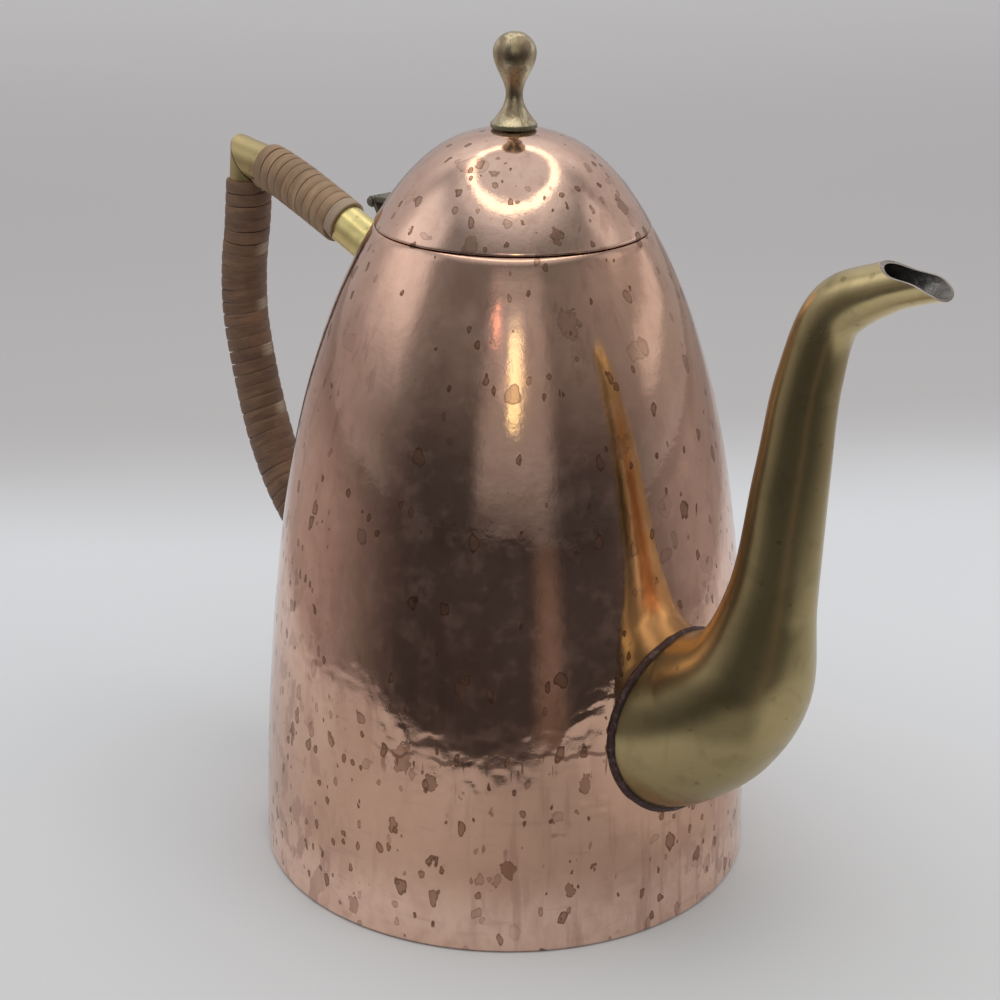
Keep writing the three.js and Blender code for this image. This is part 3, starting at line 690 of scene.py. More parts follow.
def brass_material(name, bright, dull, dark, cover, freckles=0.3, rough=0.17, dull_zone=None, painted_root_x=None):
    """Worn brass: bright metal under dull tarnish, dark freckles and wipe marks.

    dull_zone is an axis and the two places on it between which the tarnish closes. The last argument is the
    pair of places on X between which a painted highlight begins: paler warm brass at the top of the spout's
    root, by the pot, standing in for a glint. When it is given, painted shade also darkens a band on the
    spout's -Y side just above its root.
    """
    material, shader, place = new_material(name)
    broad = clouds(stretch(place, 1, 1, 0.5), 30, 0.56 - cover / 2, 0.8 - cover / 2)
    fine = clouds(place, 85, 0.48, 0.66)
    freckle = spots(place, 220, freckles, 0.22, 0.5, 0.05)
    rubbed = wipes(place, (300, 300, 24), 0.7)
    tarnish = broad["Cloud"]
    if dull_zone is not None:
        axis, clear, closed = dull_zone
        tarnish = most(tarnish, ramp(on_axis(place, axis), clear, closed))
    tint = blend(tarnish, bright, dull)
    if painted_root_x is not None:
        x, y, z = (on_axis(place, axis) for axis in "XYZ")
        # Painted shade: a darker olive band on the spout's -Y side, just above its root.
        painted_root_shade = times(ramp(x, 0.118, 0.100), ramp(z, 0.066, 0.072), ramp(z, 0.087, 0.080),
                      ramp(y, -0.009, -0.0135))
        # Painted highlight: paler warm brass on top of the spout's root by the pot, standing in for a glint.
        root_glint = times(ramp(x, *painted_root_x), ramp(z, 0.080, 0.094))
        tint = dyed(tint, (times(painted_root_shade, 0.5), dark), (times(root_glint, 0.75), (0.86, 0.64, 0.325)))
    tint = dyed(tint, (times(fine["Cloud"], 0.2), dark),
                (times(most(freckle["Spot"], freckle["Rim"]), 0.42), dark), (times(rubbed, 0.2), dark))
    height = plus(noise(place, 70, 2, 0.4), times(rubbed, 0.012))
    rough = plus(between(tarnish, rough, rough + 0.08), times(fine["Fine"], 0.02))
    connect(shader, tint, rough, metal=0.97, bumps=(height, 0.2, 0.0004))
    return material


def knob_material():
    """Antique brass: pale ball and foot, browner streaks, verdigris on the lowest edge."""
    material, shader, place = new_material("antique brass")
    level = on_axis(place, "Z")
    foot = KNOB_BOTTOM * MM
    streak = clouds(stretch(place, 1, 1, 0.3), 260, 0.42, 0.62)
    fine = clouds(place, 420, 0.45, 0.7)
    waist = times(ramp(level, foot + 0.004, foot + 0.008), ramp(level, foot + 0.021, foot + 0.014))
    brown = times(streak["Cloud"], between(waist, 0.82, 0.55))
    edge = ramp(plus(level, times(fine["Fine"], 0.0007)), foot + 0.0021, foot + 0.0012)
    tint = dyed(
        blend(brown, (0.72, 0.60, 0.395), (0.28, 0.205, 0.125)),
        (times(fine["Cloud"], 0.4), (0.15, 0.12, 0.075)),
        (times(edge, 0.8), (0.085, 0.10, 0.055)))
    connect(shader, tint, between(brown, 0.17, 0.36), metal=between(edge, 1, 0.5),
            bumps=(plus(fine["Fine"], streak["Fine"]), 0.2, 0.0001))
    return material


def dark_metal(name, base, worn, metallic, per_metre, rough=(0.38, 0.6)):
    """Dark tarnished metal with rubbed places, for the hinge and the solder."""
    material, shader, place = new_material(name)
    film = clouds(place, per_metre, 0.5, 0.72)
    tint = dyed(blend(times(film["Cloud"], 0.8), base, worn),
                (times(film["Fine"], 0.4), tuple(part * 0.5 for part in base)))
    connect(shader, tint, between(film["Fine"], *rough), metallic, bumps=(film["Fine"], 0.4, 0.0003))
    return material


def cane_material(name, light, mid, dark):
    """Aged split cane: fibres along the strip, grime in patches, turns of uneven shade."""
    material, shader, place = new_material(name)
    strip = add("ShaderNodeUVMap", uv_map="strip").outputs["UV"]
    shade, fray = (add("ShaderNodeAttribute", attribute_name=label).outputs["Fac"]
                   for label in ("turn shade", "frayed"))
    grain = use(GRAIN, {"Vector": strip})
    tint = dyed(
        blend(grain["Patch"], mid, light),
        (times(minus(1, grain["Fibre"]), 0.42), dark),
        (times(clouds(place, 75, 0.4, 0.66)["Cloud"], 0.4), dark),
        (shade, tuple(part * 0.62 for part in mid)),
        (times(fray, ramp(grain["Fibre"], 0.2, 0.9, 0.45, 1)), (0.36, 0.28, 0.20)))
    connect(shader, tint, between(grain["Patch"], 0.46, 0.62), bumps=(grain["Height"], 0.5, 0.0004))
    return material


COPPER = copper_material()
TIN = tin_material()
BRASS = brass_material(
    "tarnished brass", (0.67, 0.54, 0.28), (0.44, 0.35, 0.175), (0.15, 0.115, 0.055), cover=0.2, freckles=0.4,
    rough=0.2, dull_zone=("Z", 0.202, 0.170), painted_root_x=(0.094, 0.084))
HANDLE_BRASS = brass_material(
    "handle brass", (0.87, 0.73, 0.32), (0.52, 0.41, 0.20), (0.22, 0.165, 0.07), cover=0, freckles=0.4,
    rough=0.31, dull_zone=("X", -0.085, -0.104))
WORN_EDGE = brass_material(
    "rubbed brass edge", (0.66, 0.60, 0.50), (0.20, 0.15, 0.13), (0.07, 0.045, 0.045), cover=0.45)
KNOB_BRASS = knob_material()
HINGE_METAL = dark_metal("dark hinge brass", (0.20, 0.18, 0.14), (0.38, 0.35, 0.27), 0.85, 300)
SOLDER = dark_metal("dark solder", (0.085, 0.05, 0.048), (0.26, 0.19, 0.18), 0.8, 500, (0.2, 0.4))
# Lit and shaded copies of one cane: the lower winding's colours are painted darker as shade, since its upright
# limb gets less light from above than the upper one.
LIT_UPPER_CANE = cane_material("lit upper cane", (0.43, 0.285, 0.168), (0.315, 0.19, 0.102), (0.10, 0.055, 0.03))
SHADED_LOWER_CANE = cane_material("shaded lower cane", (0.25, 0.138, 0.075), (0.158, 0.08, 0.044), (0.05, 0.025, 0.015))


def finish(piece, slot, *materials):
    """Gives a piece its materials, in the order of the faces' material numbers. slot is not used."""
    for material in materials:
        piece.data.materials.append(material)


# ---- copper wall and base

WALL_SEGMENTS = 560
WALL_STEPS = 240
LIP_STEPS = 14
LIP_ROLL = 2.4
LIP_ROLL_DEPTH = 0.7
INSIDE_STEPS = 40
SEAM_EASE, LIP_EASE = 6, 8
FACET_WIDTH, FACET_HEIGHT = 5.2, 4.6
FACETS_ROUND = int(round(2 * math.pi * BASE_RADIUS / FACET_WIDTH))
FACET_SEED = 11
FACET_TILT, FACET_TILT_LOW = 0.0015, 0.0095
LOW_ZONE_TOP, LOW_ZONE_DEPTH = 105, 55
RIDGE_LEVEL, RIDGE_SPREAD, RIDGE_HEIGHT = 42, 8, 0.08
RIDGE_SIZE, RIDGE_SEED, RIDGE_CUT = (9, 9, 2.4), 23, 0.15
BASE_CENTRE_RADIUS = 2
BASE_UNDER_STEPS, BASE_EDGE_STEPS, BASE_TOP_STEPS = 24, 10, 26
BAND_SIDE_STEPS, BAND_EDGE_STEPS = 5, 11
WALL_WAVES = ((0.2, (30, 30, 45), 21), (0.06, (13, 13, 17), 22))


def sheet_waves(points):
    """Height of the raised sheet's unevenness in millimetres, over points (n, 3)."""
    angle = np.arctan2(points[:, 1], points[:, 0])
    level = points[:, 2]
    across = (angle / (2 * math.pi) + 0.5) * FACETS_ROUND * FACET_WIDTH
    tilt = FACET_TILT + FACET_TILT_LOW * np.clip((LOW_ZONE_TOP - level) / LOW_ZONE_DEPTH, 0, 1)
    facets = tilt * hammer_marks(across, level, FACET_WIDTH, FACET_HEIGHT, FACETS_ROUND, FACET_SEED)
    ridge_zone = np.exp(-((level - RIDGE_LEVEL) / RIDGE_SPREAD) ** 2)
    ridge = soft_noise(points, RIDGE_SIZE, RIDGE_SEED) - RIDGE_CUT
    ridges = RIDGE_HEIGHT * ridge_zone * np.clip(ridge, 0, 1)
    return facets + waves(points, WALL_WAVES) + ridges


def shape_wall(rows):
    """Hammers the outside of the wall, less near the base seam and the lip, and rolls the lip's edge."""
    flat = rows.reshape(-1, 3).copy()
    radius = np.hypot(flat[:, 0], flat[:, 1])
    level = flat[:, 2]
    outer = radius > body_radius(level) - BODY_WALL / 2
    ease = np.clip((level - BASE_THICKNESS) / SEAM_EASE, 0, 1) * np.clip((BODY_HEIGHT - level) / LIP_EASE, 0, 1)
    rolled = np.clip(1 - (BODY_HEIGHT - level) / LIP_ROLL, 0, 1)
    roll = LIP_ROLL_DEPTH * (1 - np.sqrt(1 - rolled ** 2))
    push = np.where(outer, sheet_waves(flat) * ease - roll, 0)
    flat[:, :2] *= (1 + push / radius)[:, None]
    return flat.reshape(rows.shape)


def combine(piece, tools):
    """Applies cuts and joins, as (operation, object) in turn, and deletes their objects."""
    for operation, tool in tools:
        modifier = piece.modifiers.new("work", "BOOLEAN")
        modifier.operation = operation
        modifier.solver = "MANIFOLD"
        modifier.object = tool
    graph = bpy.context.evaluated_depsgraph_get()
    done, old = bpy.data.meshes.new_from_object(piece.evaluated_get(graph)), piece.data
    piece.modifiers.clear()
    done.name = old.name
    if not old.materials:
        done.materials.clear()
    piece.data = done
    bpy.data.meshes.remove(old)
    for _, tool in tools:
        bpy.data.objects.remove(tool)


PUNCH_FRONT, PUNCH_BACK, PUNCH_SIDES = 60, 78, 20


def strainer_punch():
    """Rods along X, one in the middle and rings of six and twelve round it."""
    points, faces = [], []
    angle = round_angles(PUNCH_SIDES)
    for ring in range(3):
        holes = max(6 * ring, 1)
        for i in range(holes):
            turned = 2 * math.pi * i / holes
            y = ring * STRAINER_SPACING * math.cos(turned)
            z = SPOUT_ROOT_HEIGHT + ring * STRAINER_SPACING * math.sin(turned)
            faces += [tuple(len(points) + v for v in face) for face in skin_faces(2, PUNCH_SIDES)]
            points += [(x, y + STRAINER_HOLE_RADIUS * math.cos(a), z + STRAINER_HOLE_RADIUS * math.sin(a))
                       for x in (PUNCH_FRONT, PUNCH_BACK) for a in angle]
    return loose_mesh("strainer punch", points, faces)


def make_wall():
    """The wall, tinned inside, with the strainer's holes behind the spout."""
    levels = np.concatenate([np.linspace(BASE_THICKNESS, BODY_HEIGHT - LIP_ROLL, WALL_STEPS)[:-1],
                             np.linspace(BODY_HEIGHT - LIP_ROLL, BODY_HEIGHT, LIP_STEPS)])
    inner_levels = np.linspace(BODY_HEIGHT, BASE_THICKNESS, INSIDE_STEPS)
    outline = [*points_of(body_radius(levels), levels),
               *points_of(body_inner_radius(inner_levels), inner_levels)]
    wall = turn("copper_wall", outline, WALL_SEGMENTS, "pot", shape=shape_wall,
                slot_of=lambda i: 0 if i < len(levels) else 1)
    finish(wall, "copper", COPPER, TIN)
    combine(wall, [("DIFFERENCE", strainer_punch())])
    wall.data.set_sharp_from_angle(angle=math.radians(SHARP_ANGLE))
    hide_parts("body_shell")


def make_base():
    """The base plate, its lower edge rounded."""
    angle = np.linspace(math.pi / 2, 0, BASE_EDGE_STEPS)
    radius = body_radius(BASE_THICKNESS)
    edge = points_of(radius - BASE_EDGE_RADIUS * (1 - np.cos(angle)), BASE_EDGE_RADIUS * (1 - np.sin(angle)))
    under = np.linspace(BASE_CENTRE_RADIUS, radius - BASE_EDGE_RADIUS - 1, BASE_UNDER_STEPS)
    middle = [[r, 0] for r in under]
    top = [[r, BASE_THICKNESS] for r in np.linspace(radius, BASE_CENTRE_RADIUS, BASE_TOP_STEPS)]
    base = turn("copper_base", [*middle, *edge, *top], WALL_SEGMENTS, "pot", closed=False)
    finish(base, "copper", COPPER)
    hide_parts("base_plate")


def make_mouth_band():
    """The ring that stiffens the mouth, its upper edge rounded inwards as a ledge."""
    under, foot, half = BODY_HEIGHT - BAND_THICKNESS, BODY_HEIGHT - BAND_HEIGHT, BAND_THICKNESS / 2
    rim = lambda level: body_inner_radius(level) - SEAT_GAP
    edge = [[MOUTH_RADIUS + half * (1 - math.sin(a)), BODY_HEIGHT - half * (1 - math.cos(a))]
            for a in np.linspace(0, math.pi, BAND_EDGE_STEPS)]
    band = turn("mouth_stiffener", [
        [rim(foot) - BAND_THICKNESS, foot],
        *[[rim(level), level] for level in np.linspace(foot, BODY_HEIGHT, BAND_SIDE_STEPS)],
        *edge, [rim(under) - BAND_THICKNESS, under]], RING_SEGMENTS, "pot")
    finish(band, "copper", TIN)
    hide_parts("mouth_band")


# ---- lid and finial

DOME_SEGMENTS = 360
DOME_OUTER_STEPS, DOME_INNER_STEPS = 90, 50
RIM_ROLL = 0.9
RIM_ROLL_DEPTH = 0.45
RIM_ROLL_REACH = 0.8
RIM_EASE, CROWN_EASE = 6, 5
DOME_WAVES = ((0.09, (15, 15, 15), 31), (0.03, (6, 6, 6), 32))
RING_SEGMENTS = 240
KNOB_SEGMENTS = 96
KNOB_FLARE_STEPS, KNOB_HEAD_STEPS = 26, 22
NUT_FACE_SHARE = 0.93


def shape_dome(rows):
    """Small dents and waves in the dome, none at the rim or under the knob, and a rolled rim."""
    flat = rows.reshape(-1, 3).copy()
    radius = np.hypot(flat[:, 0], flat[:, 1])
    ease = (np.clip((LIP_RADIUS - radius) / RIM_EASE, 0, 1)
            * np.clip((radius - KNOB_BASE_RADIUS) / CROWN_EASE, 0, 1))
    wave = waves(flat, DOME_WAVES)
    rim = (radius > LIP_RADIUS - RIM_ROLL_REACH) & (flat[:, 2] < RIM_BOTTOM + RIM_ROLL)
    rolled = np.where(rim, 1 - (flat[:, 2] - RIM_BOTTOM) / RIM_ROLL, 0)
    inward = 1 - RIM_ROLL_DEPTH * (1 - np.sqrt(1 - np.clip(rolled, 0, 1) ** 2)) / radius
    flat[:, 2] += wave * ease
    flat[:, :2] *= inward[:, None]
    return flat.reshape(rows.shape)


def make_dome():
    """The dome, tinned inside, with a hole for the knob's stud."""
    def curve(inset, steps):
        rim = LIP_RADIUS - inset
        radius = rim * np.cos(np.linspace(0, 1, steps) * math.acos(KNOB_BASE_RADIUS / rim))
        return points_of(radius, dome_height(radius, inset))
    outside, inside = curve(0, DOME_OUTER_STEPS), curve(DOME_WALL, DOME_INNER_STEPS)[::-1]
    bore = STUD_RADIUS + SEAT_GAP
    outline = np.concatenate([outside, [[bore, outside[-1][1]], [bore, inside[0][1]]], inside])
    dome = turn("copper_dome", outline, DOME_SEGMENTS, "lid", shape=shape_dome,
                slot_of=lambda i: 0 if i <= DOME_OUTER_STEPS or i == len(outline) - 1 else 1)
    finish(dome, "copper", COPPER, TIN)
    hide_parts("lid_dome")


def make_collar():
    """The collar under the dome that centres the lid in the mouth."""
    outer = MOUTH_RADIUS - LID_GAP
    inner, lift = outer - COLLAR_WALL, COLLAR_WALL / 2
    foot = BODY_HEIGHT - COLLAR_DROP
    head = dome_height(outer + SEAT_GAP, DOME_WALL) - SEAT_GAP
    collar = turn("lid_skirt", [[inner, foot + lift], [inner + lift, foot], [outer, foot + lift],
                                [outer, head], [inner, head]], RING_SEGMENTS, "lid", sharp_angle=50)
    finish(collar, "copper", TIN)
    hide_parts("lid_collar")


def make_knob():
    """The knob with its stud, turned in one piece."""
    share = np.linspace(0, 1, KNOB_FLARE_STEPS)
    angle = np.linspace(0, math.pi / 2, KNOB_HEAD_STEPS)[:-1]
    way = lambda start, end, part: start + (end - start) * part
    flare = points_of(way(KNOB_NECK_RADIUS, KNOB_BASE_RADIUS, (1 - share) ** KNOB_FLARE_POWER),
                      way(KNOB_BASE_EDGE, KNOB_NECK_LEVEL, share))
    stem = points_of(way(KNOB_NECK_RADIUS, KNOB_HEAD_RADIUS, (1 - np.cos(math.pi * share)) / 2),
                     way(KNOB_NECK_LEVEL, KNOB_HEAD_LEVEL, share))
    head = points_of(KNOB_HEAD_RADIUS * np.cos(angle), way(KNOB_HEAD_LEVEL, KNOB_TOP, np.sin(angle)))
    foot = [[STUD_RADIUS, -STUD_LENGTH], [STUD_RADIUS, 0], [KNOB_BASE_RADIUS - KNOB_ROUND_OVER, 0],
            [KNOB_BASE_RADIUS, KNOB_ROUND_OVER], [KNOB_BASE_RADIUS, KNOB_BASE_EDGE - KNOB_ROUND_OVER]]
    outline = np.concatenate([foot, flare, stem[1:], head[1:]])
    outline[:, 1] += KNOB_BOTTOM
    knob = turn("turned_knob", outline, KNOB_SEGMENTS, "lid", closed=False)
    finish(knob, "brass", KNOB_BRASS)
    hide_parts("finial_knob")


def make_clamp():
    """Washer and nut on the knob's stud, under the dome."""
    bore = STUD_RADIUS + SEAT_GAP
    low, high = WASHER_TOP - WASHER_THICKNESS, WASHER_TOP
    soft, eased = WASHER_SOFT_EDGE, WASHER_RADIUS - WASHER_SOFT_EDGE
    washer = turn("clamp_washer", [
        [bore, low], [eased, low], [WASHER_RADIUS, low + soft],
        [WASHER_RADIUS, high - soft], [eased, high], [bore, high]], KNOB_SEGMENTS, "lid")
    finish(washer, "brass", KNOB_BRASS)
    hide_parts("finial_washer")
    angle = round_angles(KNOB_SEGMENTS)
    hexagon = NUT_RADIUS * math.cos(math.pi / 6) / np.cos(np.mod(angle, math.pi / 3) - math.pi / 6)
    chamfered = np.minimum(hexagon, NUT_RADIUS * NUT_FACE_SHARE)
    low, high = NUT_TOP - NUT_THICKNESS, NUT_TOP
    outline = ((bore, low), (chamfered, low), (hexagon, low + NUT_CHAMFER),
               (hexagon, high - NUT_CHAMFER), (chamfered, high), (bore, high))
    rows = np.stack([points_of(radius * np.cos(angle), radius * np.sin(angle), level)
                     for radius, level in outline])
    nut = make_object("clamp_nut", rows, "lid", sharp_angle=25, closed=True)
    finish(nut, "brass", KNOB_BRASS)
    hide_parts("finial_nut")


# ---- hinge

STRAP_RISES = (3.0, 6.5, 10.0)
STRAP_BEND_REACH, STRAP_LIFT = 4.6, 0.4
BRACKET_DROPS = (3.2, 6.7, 10.2)
BRACKET_STEP = 1.6
LEAF_STEPS = 48
LEAF_SHARP_ANGLE = 35
LEAF_ROUND_SHARE, LEAF_ROUND_OVER = 0.6, 0.4
ROD_CORE = 0.02
PIN_CORE_RADIUS = 0.05
PIN_CROWN_RADIUS, PIN_CROWN_SHARE = 0.7, 0.9
PIN_HEAD_EDGE = 0.2


def stand_off(radius, height, slope, stand):
    """A point that stands off a surface, square to it, on the handle's side."""
    along = math.hypot(1, slope)
    return [-(radius - stand * slope / along), height + stand / along]


def leaf(name, points, thickness, body):
    """A leaf of the hinge with rounded edges, along a path through points of [x, z]."""
    path = plane_path([[x, z, 0] for x, z in points])
    half, side = thickness / 2, HINGE_WIDTH / 2
    soft = min(half * LEAF_ROUND_SHARE, LEAF_ROUND_OVER)
    section = np.asarray([
        (cx * (half - soft) + soft * math.cos(a), cy * (side - soft) + soft * math.sin(a))
        for cx, cy, begin in ((1, 1, 0), (-1, 1, 90), (-1, -1, 180), (1, -1, 270))
        for a in np.radians(begin + np.array([0, 30, 60, 90]))])
    x, z, tx, tz, _ = (part[:, None] for part in on_path(path, np.linspace(0, 1, LEAF_STEPS)))
    return make_object(name, points_of(x + tz * section[:, 0], section[:, 1], z - tx * section[:, 0]), body)


def hinge_rows(outline, sides=40):
    """Rows of points round the hinge's axis, for an outline of [radius, y]."""
    angle = round_angles(sides)
    return np.stack([points_of(HINGE_X + r * np.sin(angle), y, HINGE_Z + r * np.cos(angle))
                     for r, y in outline])


def rod(radius, width, centre_y=0, sides=40, soft=0.2):
    """A loose rod on the hinge's axis for cutting and joining, its ends eased."""
    half = width / 2
    outline = ((ROD_CORE * radius, -half), (radius - soft, -half), (radius, soft - half),
               (radius, half - soft), (radius - soft, half), (ROD_CORE * radius, half))
    rows = hinge_rows([(r, centre_y + y) for r, y in outline], sides)
    return loose_mesh("work", rows.reshape(-1, 3), skin_faces(*rows.shape[:2]))


def make_hinge():
    """Strap, bracket and pin. Notches in each leaf let the other's knuckles turn."""
    notch = KNUCKLE_RADIUS + KNUCKLE_CLEARANCE
    notch_width = LID_KNUCKLE_WIDTH + 2 * SEAT_GAP
    side_width = (HINGE_WIDTH - notch_width) / 2
    side_notch = HINGE_WIDTH / 2 + KNUCKLE_CLEARANCE - LID_KNUCKLE_WIDTH / 2
    bore = lambda: ("DIFFERENCE", rod(PIN_RADIUS + SEAT_GAP, 2 * HINGE_WIDTH, sides=32, soft=0.05))

    on_dome = []
    for rise in STRAP_RISES:
        radius = LIP_RADIUS * (1 - rise / DOME_RISE) ** (1 / DOME_POWER)
        slope = -DOME_POWER * (DOME_RISE - rise) / radius
        on_dome.append(stand_off(radius, RIM_BOTTOM + rise, slope, SEAT_GAP + LID_LEAF_THICKNESS / 2))
    top = HINGE_Z + KNUCKLE_RADIUS - LID_LEAF_THICKNESS / 2
    bend = -(LIP_RADIUS + STRAP_BEND_REACH)
    strap = leaf("hinge_strap", [
        [HINGE_X, top], [(HINGE_X + bend) / 2, top + STRAP_LIFT], [bend, top + 2 * STRAP_LIFT], *on_dome],
        LID_LEAF_THICKNESS, "lid")
    combine(strap, [
        *[("DIFFERENCE", rod(notch, side_notch, s * (LID_KNUCKLE_WIDTH + side_notch) / 2)) for s in (-1, 1)],
        ("UNION", rod(KNUCKLE_RADIUS, LID_KNUCKLE_WIDTH)), bore()])
    smooth_over(strap.data, LEAF_SHARP_ANGLE)
    finish(strap, "dark_brass", HINGE_METAL)
    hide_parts("hinge_lid_leaf")

    on_body = [stand_off(float(body_radius(level)), level, 1 / float(body_slope(level)),
                         SEAT_GAP + BODY_LEAF_THICKNESS / 2)
               for level in (BODY_HEIGHT - drop for drop in BRACKET_DROPS)]
    foot_x, foot_z = on_body[2]
    bracket = leaf("hinge_bracket", [
        *on_body, [foot_x - BRACKET_STEP, foot_z - BRACKET_STEP], [foot_x - 2 * BRACKET_STEP, foot_z],
        [HINGE_X + KNUCKLE_RADIUS / 2, HINGE_Z]], BODY_LEAF_THICKNESS, "pot")
    combine(bracket, [
        ("DIFFERENCE", rod(notch, notch_width)),
        *[("UNION", rod(KNUCKLE_RADIUS, side_width, s * (notch_width + side_width) / 2)) for s in (-1, 1)],
        bore()])
    smooth_over(bracket.data, LEAF_SHARP_ANGLE)
    finish(bracket, "dark_brass", HINGE_METAL)
    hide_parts("hinge_body_leaf")

    half = HINGE_WIDTH / 2 + SEAT_GAP
    outline = [(PIN_CORE_RADIUS, -half - PIN_HEAD_THICKNESS),
               (PIN_CROWN_RADIUS, -half - PIN_HEAD_THICKNESS * PIN_CROWN_SHARE),
               (PIN_HEAD_RADIUS, -half - PIN_HEAD_EDGE), (PIN_HEAD_RADIUS, -half), (PIN_RADIUS, -half)]
    outline += [(radius, -y) for radius, y in reversed(outline)]
    pin = make_object("hinge_rivet", hinge_rows(outline), "pot")
    finish(pin, "dark_brass", HINGE_METAL)
    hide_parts("hinge_pin")


# ---- spout

SPOUT_ROOT_X = float(body_radius(SPOUT_ROOT_HEIGHT))
SPOUT_STATIONS = (
    (-9, -3, 25.5), (0, 0.4, 24.3), (11, 7.5, 21.6), (21.1, 19.8, 17.7), (27.1, 43, 12), (31.1, 78.4, 9.6),
    (34.3, 104.4, 8.3), (41.2, 124.5, 7.1), (54.4, 131.8, 6.2), (67.7, 136.8, 5.9), (78.5, 139.5, 5.9))
LIP_CUT = ((53.5, 138), (58.5, 136.2), (65.5, 135.6), (69, 134.2), (71.5, 132.4), (73.2, 129))
spout_path = plane_path([(SPOUT_ROOT_X + reach, SPOUT_ROOT_HEIGHT + rise, radius)
                         for reach, rise, radius in SPOUT_STATIONS])
SPOUT_WAVES = ((0.12, (14, 14, 26), 41), (0.03, (6, 6, 9), 42))
WEB_RISE = 127
WEB_SHARE = float(np.interp(SPOUT_ROOT_HEIGHT + WEB_RISE, spout_path["z"], spout_path["share"]))
WEB_SPREAD = 0.045
END_EASE_ROWS = 12
BEAD_STEPS, BEAD_SIDES = 200, 14
BEAD_SHARE, BEAD_LUMPS, BEAD_LUMP_SIZE = 0.68, 0.12, (2.5, 2.5, 2.5)
lip_curve = plane_path([(SPOUT_ROOT_X + reach, SPOUT_ROOT_HEIGHT + rise, 0) for reach, rise in LIP_CUT])


def below_lip(p):
    """Tells which points lie under the curve that opens the mouth from above."""
    level = np.interp(p[..., 0], lip_curve["x"], lip_curve["z"], left=1e3, right=-1e3)
    return p[..., 2] < level


def shape_spout(points, angle, share):
    """Slight hammered unevenness on the spout's outside, and a fuller inside of the bend."""
    flat = points.reshape(-1, 3).copy()
    rows = np.arange(points.shape[0])
    ease = np.repeat(np.clip(np.minimum(rows, rows[::-1]) / END_EASE_ROWS, 0, 1), points.shape[1])
    cos, sin = np.cos(angle), np.sin(angle)
    web = SPOUT_WEB * np.exp(-((share - WEB_SHARE) / WEB_SPREAD) ** 2) * np.clip(cos, 0, 1) ** 2
    wave = waves(flat, SPOUT_WAVES) * ease + web.reshape(-1)
    _, _, tx, tz, _ = on_path(spout_path, share)
    normal = points_of(tz * cos, sin, -tx * cos).reshape(-1, 3)
    return (flat + wave[:, None] * normal).reshape(points.shape)


def make_bead(name, path, bead_radius, node, seed):
    """Solder drawn round a root, where the tube meets the wall, a little lumpy."""
    angle = round_angles(BEAD_STEPS)
    loop = tube_points(path, crossing(path, angle, 0.0, in_wall(0), 0.0, 0.5), angle)
    along = np.roll(loop, -1, axis=0) - np.roll(loop, 1, axis=0)
    along /= np.linalg.norm(along, axis=1)[:, None]
    away = loop - loop.mean(axis=0)
    away -= along * np.sum(away * along, axis=1)[:, None]
    away /= np.linalg.norm(away, axis=1)[:, None]
    out = np.cross(along, away)
    round_bead = round_angles(BEAD_SIDES)[None, :, None]
    radius = BEAD_SHARE * bead_radius * (1 + BEAD_LUMPS * soft_noise(loop, BEAD_LUMP_SIZE, seed))
    rows = (loop[:, None] + radius[:, None, None]
            * (np.cos(round_bead) * away[:, None] + np.sin(round_bead) * out[:, None]))
    bead = make_object(name, rows, "pot", sharp_angle=60, closed=True)
    finish(bead, "solder", SOLDER)
    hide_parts(node)


def make_spout():
    """The hollow spout, with a worn rim and a tinned bore, and its solder."""
    spout = hollow_tube(
        "swan_spout", spout_path, (SPOUT_WALL, SPOUT_LIP_WALL), below_lip, rows=260, sides=144,
        shape=shape_spout)
    finish(spout, "brass", BRASS, WORN_EDGE, TIN)
    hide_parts("spout")
    make_bead("spout_seam", spout_path, SPOUT_BEAD_RADIUS, "spout_solder", 51)


# ---- handle and windings

CORNER_REACH, CORNER_RISE = 67.5, 21.5
CORNER = (-(float(body_radius(UPPER_ROOT_HEIGHT)) + CORNER_REACH), UPPER_ROOT_HEIGHT + CORNER_RISE)
UPPER_LIMB = ((-0.133, -0.181), (0, 0), (0.444, 0.544), (0.8, 0.912), (1, 1))
LOWER_LIMB = ((-0.193, -0.031), (0, 0), (0.385, 0.092), (0.647, 0.181), (0.807, 0.269), (0.934, 0.374),
              (1.045, 0.508), (1.103, 0.615), (1.098, 0.735), (1.049, 0.838), (1, 1))
STRIP_STEPS = 72
STRIP_EDGE = 0.98
STRIP_THICKNESS = 1.0
STRIP_STAND = 0.12
CROWN_FALL = 0.24
STRIP_WOBBLE, STRIP_WIDTH_SPREAD = 0.1, 0.03
TURN_LIFT = (-0.05, 0.08)
START_WIDTH, START_STEPS = 0.4, 8
END_THICKNESS, END_STEPS = 0.25, 5
DARKEST_TURN, SHADE_POWER, CORNER_TURN_SHADE = 0.6, 1.5, 0.3
FRAY_GAIN = 1.3
GRAIN_LENGTH = 100


def limb_path(root_height, shares):
    """A limb from its root on the wall, at shares of the way to the handle's corner."""
    root_x = -float(body_radius(root_height))
    return plane_path([(root_x + (CORNER[0] - root_x) * reach, root_height + (CORNER[1] - root_height) * rise,
                        HANDLE_TUBE_RADIUS) for reach, rise in shares])


upper_path = limb_path(UPPER_ROOT_HEIGHT, UPPER_LIMB)
lower_path = limb_path(LOWER_ROOT_HEIGHT, LOWER_LIMB)


def stretched(path, extra):
    """A path that runs straight on past its end, to be cut at the mitre."""
    more = {key: np.append(path[key], path[key][-1]) for key in ("x", "z", "radius", "tx", "tz")}
    more["x"][-1] += path["tx"][-1] * extra
    more["z"][-1] += path["tz"][-1] * extra
    length = path["length"] + extra
    return {**more, "share": np.append(path["share"] * path["length"], length) / length, "length": length}


